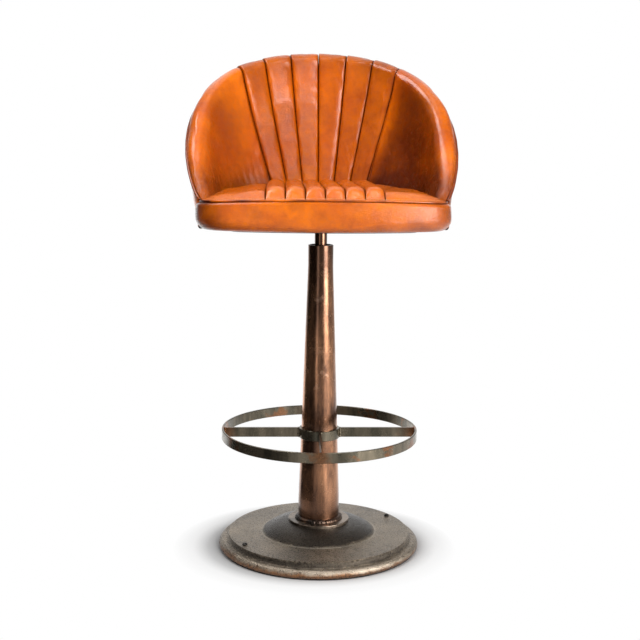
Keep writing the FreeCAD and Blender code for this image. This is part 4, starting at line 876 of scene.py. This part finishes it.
def front_edge(share, inset, start=SEAT.start_angle):
    """Points of the outline at an inset; share runs from the right side's start to the left side's."""
    radius = SEAT.corner_radius - inset
    arc_radius = SEAT.front_radius - inset
    half_arc = math.atan2(CORNER_X, FRONT_CENTRE - CORNER_Y)
    corner_run = radius * math.radians(CORNER_END - start)
    arc_run = 2 * arc_radius * half_arc
    run = np.asarray(share) * (2 * corner_run + arc_run)
    first = math.radians(start) + run / radius
    middle = half_arc - (run - corner_run) / arc_radius
    last = math.radians(start) + (2 * corner_run + arc_run - run) / radius
    corner = np.stack([CORNER_X + radius * np.cos(first), CORNER_Y - radius * np.sin(first)], -1)
    arc = np.stack([arc_radius * np.sin(middle), FRONT_CENTRE - arc_radius * np.cos(middle)], -1)
    other = np.stack([-CORNER_X - radius * np.cos(last), CORNER_Y - radius * np.sin(last)], -1)
    return np.where((run < corner_run)[..., None], corner,
                    np.where((run < corner_run + arc_run)[..., None], arc, other))


def welt_level(x):
    return SEAT.welt_level - SEAT.welt_drop * (x / SEAT_HALF_WIDTH) ** 2


def plain_level(x, y):
    """Top of the cushion without its channels: a border by the welt, a stitched line, then the roll."""
    inset = inset_at(x, y)
    edge = welt_level(x) + 0.0006
    line = edge + 0.0024
    side = smooth(np.abs(x), 0.10, 0.10)
    top = SEAT.crown - SEAT.flute_depth + (SEAT.side_level - SEAT.crown + SEAT.flute_depth) * side
    border = edge + (line - edge) * edge_share(inset - SEAT.edge_inset, SEAT.stitch_inset - SEAT.edge_inset)
    rise = np.sin(np.pi / 2 * np.clip((inset - SEAT.stitch_inset) / SEAT.roll, 0, 1))
    level = np.where(inset < SEAT.stitch_inset, border, line + (top - line) * rise)
    return level - 0.0007 * bell(inset, SEAT.stitch_inset, 0.0012)


def seat_loops(front, back, top_of):
    """Sections from front (rows, 2) to back (rows, 2): over the top, then down and back below."""
    run = np.linalg.norm(back - front, axis=1)[:, None]
    ahead = (back - front)[:, None] / run[..., None]
    near = FRONT_INSETS - FRONT_INSETS[0]
    reach = np.minimum(near[-1], 0.35 * run)
    far_share = np.linspace(0, 1, 40)[1:]
    distance = join(near / near[-1] * reach, reach + (run - reach) * far_share)
    spots = front[:, None] + ahead * distance[..., None]
    top = np.concatenate([spots, top_of(spots[..., 0], spots[..., 1], distance, run)[..., None]], axis=2)
    below = front[:, None] + ahead * (run * np.linspace(1, 0, 24))[..., None]
    bottom = np.concatenate([below, np.full(below.shape[:2] + (1,), FOAM_TOP + TUB.gap)], axis=2)
    return join(top, bottom), distance, run


def back_stop(x):
    """Where the seat's flutes end under the back's padding."""
    spots = inner_line(np.linspace(0, 100, 400), SEAT.crown)
    return np.minimum(np.interp(np.abs(x), spots[:, 0], spots[:, 1]) - 0.0022, 0.1560)


def front_at(x, inset):
    return FRONT_CENTRE - np.sqrt((SEAT.front_radius - inset) ** 2 - x ** 2)


def make_seat_flutes():
    share = np.concatenate([[0, 0.03, 0.07, 0.13], np.linspace(0.22, 0.62, 6),
                            [0.70, 0.78, 0.86, 0.93, 0.975, 1.0]])
    for number in range(1, 2 * FLUTES_PER_SIDE + 1):
        across = share * (SEAT.flute_width - 2 * SEAM_GAP)
        x = (number - 1 - FLUTES_PER_SIDE) * SEAT.flute_width + SEAM_GAP + across
        front = np.stack([x, front_at(x, SEAT.edge_inset)], -1)
        back = np.stack([x, back_stop(x)], -1)
        crown = crown_of(across, SEAT.flute_width, 0.0130, 0.0180)[:, None]

        def top_of(x, y, distance, run):
            channel = smooth(inset_at(x, y), SEAT.stitch_inset, SEAT.channel_start) * crown * SEAT.flute_depth
            fall = SEAT.back_fall * smooth(distance - run, -0.02, 0.02)
            dip = 0.0005 * ripple(x, y, 0.05, 40 + number)
            return plain_level(x, y) + channel - fall + dip * crown

        loops, distance, run = seat_loops(front, back, top_of)
        near_front = bell(distance, SEAT.stitch_inset - SEAT.edge_inset, 0.004)
        # Painted shade: darker in the seams' grooves, along the stitched edge and where the flutes run in
        # under the back's padding.
        burnish_and_shade = 0.75 * (1 - smooth(crown * 1.15)) * smooth(distance / 0.012) + 0.12 * near_front
        burnish_and_shade = np.clip(burnish_and_shade + 0.4 * smooth(distance - run, -0.03, 0.03), 0, 1)
        free = smooth(crown, 0.2, 0.6) * smooth(distance, 0.012, 0.02)
        pad("seat_flute_%d" % number, loops, (loops[..., 0], loops[..., 1]), burnish_and_shade, 0.25, free,
            LIMIT.seat_flute)


def make_seat_panels():
    """Plain side panels, from the outer seam round to where the tub's arm meets the seat's corner."""
    seam = FLUTES_PER_SIDE * SEAT.flute_width + SEAM_GAP
    share = np.concatenate([[0, 0.008, 0.02], np.linspace(0.045, 1.0, 34)])
    table = np.linspace(0, 0.5, 600)
    outline = front_edge(table, SEAT.edge_inset, SEAT.cushion_start)
    first = np.interp(-seam, -outline[:, 0], table)
    front = front_edge(first * (1 - share), SEAT.edge_inset, SEAT.cushion_start)
    spots = inner_line(np.linspace(20, TUB.end_angle, 900), FOAM_TOP)
    spots = spots - unit(np.stack([spots[:, 0], np.maximum(spots[:, 1], 0)], -1)) * 0.0026
    kept = spots[spots[:, 0] > seam + 0.003]
    run = np.concatenate([[0], run_along(kept) + 0.003])
    run = run / run[-1]
    kept = np.concatenate([[[seam, np.interp(seam, spots[:400, 0], spots[:400, 1])]], kept])
    back = np.stack([np.interp(share, run, kept[:, 0]), np.interp(share, run, kept[:, 1])], -1)
    for side, word, edge in ((-1, "left", 0.0120), (1, "right", 0.0040)):

        def top_of(x, y, distance, run):
            inset = inset_at(x, y)
            channel = smooth(inset, SEAT.stitch_inset, SEAT.channel_start)
            dip = 0.0022 * (1 - edge_share(x - seam, edge)) * channel
            wave = 0.0007 * ripple(x, y, 0.08, 50 + side) * smooth(inset, SEAT.stitch_inset, 0.03)
            return plain_level(x, y) - dip + wave

        loops, distance, length = seat_loops(front, back, top_of)
        off_seam = loops[:, :distance.shape[1], 0] - seam
        # Painted shade: darker by the seam and where the panel runs in under the tub's wall.
        burnish_and_shade = np.clip(0.7 * fading(off_seam, 0.002) + 0.45 * fading(length - distance, 0.008), 0, 1)
        free = smooth(off_seam / 0.012) * smooth(distance, 0.012, 0.02) * smooth((length - distance) / 0.02)
        free = free * smooth((1 - share[:, None]) / 0.06)
        loops[..., 0] *= side
        pad("seat_panel_" + word, loops, (loops[..., 0], loops[..., 1]), burnish_and_shade, 0.3, free, LIMIT.panel)


def make_seat_band():
    """Front band: full in its face, rounded at its lower edge and wrapped under the seat board.

    In each section the face's inset is a quarter ellipse below and a small one above, less a sine's
    fullness; the strip below runs in flat, and the back follows the board's own rounded edge. Towards
    its ends the band leans back, to meet the slanted ends of the tub's cover.
    """
    share = np.linspace(0, 1, 240)
    centre = front_edge(share, 0.0)
    out = unit(centre - front_edge(share, 0.001))
    high = (welt_level(centre[:, 0]) - SEAT.welt_radius - 0.0004)[:, None]
    low = SEAT_BOTTOM - 0.0010
    corner = smooth(np.abs(out[:, :1]), 0.22, 0.60)
    rounding = SEAT.edge_round + SEAT.corner_round * corner
    climb = SEAT.edge_rise + SEAT.corner_rise * corner
    bend = 1 - np.cos(np.linspace(0, np.pi / 2, 16))
    straight = np.linspace(0, 1, 25)[1:]
    z = low + join(climb * bend, climb + (high - low - climb) * straight)
    run = share[:, None] * OUTLINE_RUN
    level = (z - low) / (high - low)
    lower = rounding * (1 - edge_share(z - low, climb))
    upper = 0.0016 * (1 - edge_share(high - z, 0.0045))
    full = 0.0018 * np.sin(np.pi * level) + SEAT.corner_flare * corner * smooth((high - z + 0.004) / 0.010)
    puckers = 0.00014 * ripple(run * 2.0, z * 0.6, 0.022, 21) * smooth(level, 0.80, 0.2)
    waves = 0.0005 * ripple(run, z, 0.12, 22) * np.sin(np.pi * level)
    depth = full + waves + puckers - lower - upper
    tuck = rounding - SEAT.corner_flare * corner + 0.0010
    under = -SEAT.wrap + (SEAT.wrap - tuck) * np.linspace(0, 1, 6)
    board = np.clip(1 - (z - SEAT_BOTTOM) / BOARD_EDGE, 0, 1)
    inner = -SEAT.band_thickness - BOARD_EDGE * (1 - np.sqrt(np.clip(1 - board ** 2, 0, 1)))
    inner = np.minimum(inner, depth - 0.0007)
    face_z = join(low + 0 * under, z)
    back_z = np.maximum(face_z, low + 0.0008)
    spots = join(under, depth, inner[:, ::-1], under[:, ::-1])
    levels = join(face_z, back_z[:, ::-1])
    loops = np.concatenate([centre[:, None] + out[:, None] * spots[..., None], levels[..., None]], axis=2)
    from_end = np.minimum(share, 1 - share)[:, None] * OUTLINE_RUN
    height = np.clip((levels - low) / (high - low), 0, 1)
    loops[..., 1] += (1 - smooth(from_end / BAND_LEAN.run)) * (BAND_LEAN.foot + BAND_LEAN.top * height)
    # Painted shade: darker under the welt, at the rounded lower edge, at both ends by the tub's cover and
    # most round the left end; the ripple is tone that varies.
    burnish_and_shade = 0.45 * fading(high - z, 0.0014) + 0.30 * fading(z - low, 0.0090)
    burnish_and_shade = burnish_and_shade + 0.30 * fading(from_end, 0.016) + 0.68 * smooth(share[:, None], 0.81, 0.12)
    burnish_and_shade = np.clip(burnish_and_shade + 0.10 * ripple(run, z * 1.5, 0.050, 24), 0, 1)
    burnish_and_shade = join(0 * under + 0.4, burnish_and_shade, 0 * z + 1, 0 * under + 1)
    fields = hide_fields(run, loops[..., 2], burnish_and_shade, 0.35)
    piece = loft("seat_band_leather", loops, tan, fields, paired=True)
    settle_in(refine(piece), "seat", "tan_leather", "seat_band")


def make_seat_welt():
    """Thin welt along the cushion's edge, burnished, with painted shade that makes it nearly black round its
    left end.
    """
    share = np.linspace(0, 1, 300)
    centre = front_edge(share, SEAT.welt_inset)
    path = join(centre, welt_level(centre[:, :1]))
    run = share * OUTLINE_RUN
    wobble = 1 + 0.05 * ripple(run, 0.0, 0.02, 4)
    # A burnished tone that varies, plus painted shade towards the left end.
    dark = np.clip(0.40 + 0.25 * ripple(run, 0.0, 0.05, 6) + smooth(share, 0.90, 0.04), 0, 1)
    fields = hide_fields(run[:, None], 0.0, np.tile(dark[:, None], TUBE_SIDES), 0.2)
    piece = tube("seat_welt_leather", path, SEAT.welt_radius * wobble, tan, fields)
    settle_in(piece, "seat", "tan_leather", "seat_welt")


def capsules(name, centres, ahead, material):
    """Many short stitches as one mesh: each a six-sided spindle of five rings along its direction."""
    rings = np.array([-0.5, -0.32, 0.0, 0.32, 0.5]) * STITCH.length
    swell = np.array([0.25, 0.85, 1.0, 0.85, 0.25]) * STITCH.radius
    turn = np.linspace(0, 2 * np.pi, 6, endpoint=False)[:, None]
    side = unit(np.cross(ahead, (0.0, 0.0, 1.0)))
    above = np.cross(side, ahead)
    circle = side[:, None, None] * np.cos(turn) + above[:, None, None] * np.sin(turn)
    spots = (centres[:, None, None] + ahead[:, None, None] * rings[:, None, None]
             + circle * swell[:, None, None])
    count = len(centres)
    tip = ahead * STITCH.length * 0.55
    points = np.concatenate([spots.reshape(-1, 3), centres - tip, centres + tip])
    base = np.arange(count)[:, None, None] * 30
    quads = (grid_quads(5, 6)[None] + base).reshape(-1, 4)
    ring = np.arange(6)
    after = np.roll(ring, -1)
    start = np.stack([after, ring, 0 * ring], 1)[None] + base * np.array([1, 1, 0])
    start[..., 2] = count * 30 + np.arange(count)[:, None]
    end = np.stack([24 + ring, 24 + after, 0 * ring], 1)[None] + base * np.array([1, 1, 0])
    end[..., 2] = count * 31 + np.arange(count)[:, None]
    tips = np.concatenate([start.reshape(-1, 3), end.reshape(-1, 3)])
    return add_mesh(name, points, [quads, tips], material)


def make_stitches():
    """One row of stitches behind the welt, which sews the channels' ends down."""
    line = front_edge(np.linspace(0.02, 0.98, 1200), SEAT.stitch_inset, SEAT.cushion_start)
    run = run_along(line)
    spots = np.arange(STITCH.margin, run[-1] - STITCH.margin, STITCH.pitch)
    x, y = np.interp(spots, run, line[:, 0]), np.interp(spots, run, line[:, 1])
    centres = np.stack([x, y, plain_level(x, y) + STITCH.lift], -1)
    piece = capsules("seat_stitches", centres, unit(np.gradient(centres, axis=0)), thread)
    settle_in(piece, "seat", "tan_leather")


# Welds on the column and the footrest

def make_column_weld():
    """Lumpy fillet weld round the column's foot: overlapping beads, like laid coins."""
    low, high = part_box("column_weld_bead")
    leg = high.z - low.z
    radius = high.x - leg
    turn = np.linspace(0, 2 * np.pi, 361)
    rng = np.random.default_rng(8)
    beads = 54
    size = 1 + 0.14 * np.interp(turn, np.linspace(0, 2 * np.pi, beads + 1), rng.uniform(-1, 1, beads + 1))
    size = size * (0.93 + 0.09 * np.abs(np.sin(turn * beads / 2)))
    size[-1] = size[0]
    section = np.radians(np.linspace(0, 90, 9))
    fullness = 1.02
    rise = leg * fullness * np.sin(section)
    r = radius + size[:, None] * np.concatenate([leg * fullness * np.cos(section), [-0.0006, -0.0006]])
    z = np.maximum(low.z + np.concatenate([rise, [rise[-1], 0.0]]) * size[:, None], low.z)
    loops = np.stack([r * np.cos(turn)[:, None], r * np.sin(turn)[:, None], z], -1)[:-1]
    rows, columns = loops.shape[:2]
    a = np.arange(rows * columns).reshape(rows, columns)
    b, c = np.roll(a, -1, axis=1), np.roll(a, -1, axis=0)
    quads = np.stack([a, b, np.roll(b, -1, axis=0), c], -1).reshape(-1, 4)
    piece = add_mesh("column_weld", loops.reshape(-1, 3), [quads], weld_bronze)
    settle_in(piece, "base", "weld_metal", "column_weld_bead")


def blob(centre, size, seed):
    """A lump of weld: an ellipsoid whose surface is pushed in and out by a ripple."""
    lat = np.linspace(0, np.pi, 10)[:, None]
    lon = np.linspace(0, 2 * np.pi, 16, endpoint=False)[None]
    ball = np.stack([np.sin(lat) * np.cos(lon), np.sin(lat) * np.sin(lon), np.cos(lat) + 0 * lon], -1)
    ball = ball * (1 + 0.10 * ripple(ball[..., 0] + ball[..., 2], ball[..., 1], 0.9, seed))[..., None]
    ball[0], ball[-1] = ball[0].mean(0), ball[-1].mean(0)
    return np.asarray(centre) + ball * np.asarray(size)


def make_footrest_welds():
    """Small lumps down both sides of each spoke, at the hoop and at the collar."""
    low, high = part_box("foot_ring_hoop")
    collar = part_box("foot_ring_collar")[1].x
    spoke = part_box("foot_ring_spoke_1")
    half = (spoke[1].x - spoke[0].x) / 2
    rim = high.x - 0.0042 - 0.0012
    for number in range(1, 5):
        cos, sin = math.cos(math.radians(-90 * number)), math.sin(math.radians(-90 * number))
        spin = np.array([[cos, -sin, 0], [sin, cos, 0], [0, 0, 1]])
        for word, reach, finish in (("rim", rim, rusty_weld), ("collar", collar + 0.0010, ring_bronze)):
            lumps = []
            for side in (-1, 1):
                for k in range(5):
                    spot = (reach, side * (half + 0.0004), low.z + (high.z - low.z) * (0.14 + 0.18 * k))
                    lumps.append(blob(spot, (0.0021, 0.0021, 0.0027), number * 20 + k * 2 + side))
            rows, columns = lumps[0].shape[:2]
            points = np.concatenate([lump.reshape(-1, 3) for lump in lumps]) @ spin.T
            quads = grid_quads(rows, columns)[None] + np.arange(len(lumps))[:, None, None] * rows * columns
            piece = add_mesh("foot_ring_weld_%s_%d" % (word, number), points, [quads.reshape(-1, 4)], finish)
            settle_in(piece, "base", "ring_steel")


# Stage

def shown_rays(s):
    """1 for camera, glossy and transmission rays, which see the white surround, and 1 for glossy ones."""
    path = s.add("LightPath")
    mirrored = path.outputs["Is Glossy Ray"]
    either = s.maths("MAXIMUM", path.outputs["Is Camera Ray"], mirrored)
    return s.maths("MAXIMUM", either, path.outputs["Is Transmission Ray"]), mirrored


def room_level(s, window):
    """Brightness of the room, share of its soft box (a window of azimuths), height and reach.

    Azimuth is 0 in front of the stool and grows to its right.
    """
    x, y, height, reach = s.spot()
    turn = s.maths("ARCTAN2", x, s.times(y, -1.0))
    ramp = s.add("ValToRGB", {"Fac": s.range(turn, -math.pi, math.pi)})
    stops = ramp.color_ramp.elements
    for k, (azimuth, level) in enumerate(ROOM_LEVELS):
        position = (azimuth + 180) / 360
        stop = stops[k] if k < 2 else stops.new(position)
        stop.position = position
        stop.color = (level, level, level, 1)
    first, last = (math.radians(a) for a in window)
    soft = SOFT_BOX.edge
    across = s.times(s.range(turn, first - soft, first + soft), s.range(turn, last + soft, last - soft))
    return ramp.outputs["Color"], across, height, reach


def plain_mesh(name, points, faces, material):
    mesh = bpy.data.meshes.new(name)
    mesh.from_pydata(points, [], faces)
    mesh.materials.append(material)
    return new_object(name, mesh)


def make_floor():
    """White floor: it keeps the stool's shadow, adds a painted shadow round it, fades into the surround and
    mirrors the room's tones.
    """
    s = Shader("floor_white")
    seen, mirrored = shown_rays(s)
    s.put(s.surface.inputs["Roughness"], 0.9)
    s.put(s.surface.inputs["Specular IOR Level"], 0.0)
    moved = s.add("VectorMath", {0: s.place(FLOOR.stretch), 1: (FLOOR.shift, 0.0, 0.0)}, operation="ADD")
    distance = s.length(moved.outputs[0])
    # Painted shadow: the floor's colour darkens near the stool.
    s.put(s.surface.inputs["Base Color"], s.mix(s.range(distance, *FLOOR.shade), (0.38,) * 3, (0.80,) * 3))
    open_floor = s.times(s.range(distance, *FLOOR.white), seen)
    lit = s.blend(open_floor, s.surface.outputs[0], s.glow(1.0))
    level, across, _, _ = room_level(s, SOFT_BOX.floor_azimuth)
    room = s.glow(s.range(across, 0.0, 1.0, FLOOR.room, SOFT_BOX.floor), level)
    material = s.show(s.blend(s.times(s.range(distance, *FLOOR.mirrored), mirrored), lit, room))
    side = FLOOR.side
    corners = [(-side, -side, 0), (side, -side, 0), (side, side, 0), (-side, side, 0)]
    floor = plain_mesh("floor", corners, [(0, 1, 2, 3)], material)


def make_studio():
    """The room that glossy surfaces mirror: a ring of wall under a dim top.

    It has a soft box at the right, a strip of light at the left and a patch of light in its top.
    """
    s = Shader("studio_wall")
    level, across, height, reach = room_level(s, SOFT_BOX.azimuth)
    top, edge = SOFT_BOX.top, SOFT_BOX.top_edge
    rise = s.range(height, top + edge, top - edge, 0.5, SOFT_BOX.gain)
    rise = s.times(rise, s.range(height, *SOFT_BOX.boost))
    rise = s.times(rise, s.range(height, *SOFT_BOX.foot))
    rise = s.plus(rise, s.range(reach, *SOFT_BOX.upper))
    _, across_left, _, _ = room_level(s, SOFT_BOX.left_azimuth)
    left = s.times(across_left, s.range(height, *SOFT_BOX.left))
    strength = s.plus(s.plus(s.range(height, *ROOM.fade), s.times(across, rise)), left)
    off = s.add("VectorMath", {0: s.place(), 1: CEILING_BOX.centre}, operation="DISTANCE").outputs["Value"]
    patch = s.range(off, CEILING_BOX.reach + CEILING_BOX.edge, CEILING_BOX.reach, 0.0, CEILING_BOX.gain)
    material = s.show(s.add("AddShader", {0: s.glow(strength, level), 1: s.glow(patch)}).outputs[0])
    azimuth = np.radians(np.linspace(-ROOM.reach, ROOM.reach, ROOM.steps + 1))[:, None]
    out, up = np.array([[ROOM.radius, 0.0], [ROOM.radius, ROOM.height], [0.0, ROOM.height]]).T
    wall = np.stack([out * np.sin(azimuth), -out * np.cos(azimuth), up + 0 * azimuth], -1).reshape(-1, 3)
    a = np.concatenate([np.arange(ROOM.steps) * 3, np.arange(ROOM.steps) * 3 + 1])
    studio = plain_mesh("studio", wall.tolist(), np.stack([a, a + 1, a + 4, a + 3], 1).tolist(), material)
    for rays in ("camera", "diffuse", "shadow", "transmission"):
        setattr(studio, "visible_" + rays, False)


def lamp(name, azimuth, height, distance, size, power):
    """Soft square lamp. Azimuth 0 is in front of the stool and grows to its right."""
    light = bpy.data.lights.new(name, "AREA")
    light.shape = "RECTANGLE"
    light.size, light.size_y = size
    light.energy = power
    turn = math.radians(azimuth)
    spot = Vector((distance * math.sin(turn), -distance * math.cos(turn), height))
    holder = new_object(name, light)
    holder.location = spot
    holder.rotation_euler = (Vector((0.0, 0.0, LAMP_AIM)) - spot).to_track_quat("-Z", "Y").to_euler()
    holder.visible_glossy = False


def make_lights():
    """A surround that is white where it is seen and dim as a light, and the lamps."""
    s = Shader("surround", bpy.data.worlds)
    seen, _ = shown_rays(s)
    background = s.tree.nodes["Background"]
    s.put(background.inputs["Strength"], s.range(seen, 0.0, 1.0, WORLD_LEVEL, 1.0))
    s.put(background.inputs["Color"], (1.0, 1.0, 1.0, 1.0))
    bpy.context.scene.world = s.owner
    for settings in LAMPS:
        lamp(*settings)


def make_camera():
    """The photograph's view, for a square frame."""
    turn, tilt = math.radians(CAMERA.azimuth), math.radians(CAMERA.pitch)
    eye = Vector((-CAMERA.distance * math.sin(turn), -CAMERA.distance * math.cos(turn), CAMERA.height))
    ahead = Vector((math.sin(turn) * math.cos(tilt), math.cos(turn) * math.cos(tilt), -math.sin(tilt)))
    data = bpy.data.cameras.new("camera")
    data.sensor_fit = "HORIZONTAL"
    data.sensor_width = CAMERA.sensor
    data.lens = CAMERA.focal_pixels / CAMERA.frame_pixels * CAMERA.sensor
    data.shift_x = (CAMERA.frame_pixels / 2 - CAMERA.centre_x) / CAMERA.frame_pixels
    camera = new_object("camera", data)
    turned = ahead.to_track_quat("-Z", "Y").to_matrix().to_4x4()
    rolled = Matrix.Rotation(math.radians(CAMERA.roll), 4, "Z")
    camera.matrix_world = Matrix.Translation(eye) @ turned @ rolled
    bpy.context.scene.camera = camera


bpy.context.scene.view_settings.view_transform = "Standard"
make_camera()
make_lights()
make_floor()
make_studio()
finish_parts()
make_back_flutes()
make_back_wings()
make_back_cover()
make_back_piping()
make_seat_flutes()
make_seat_panels()
make_seat_band()
make_seat_welt()
make_stitches()
make_column_weld()
make_footrest_welds()
blow_out()
for item in pads:
    refine(item.piece)
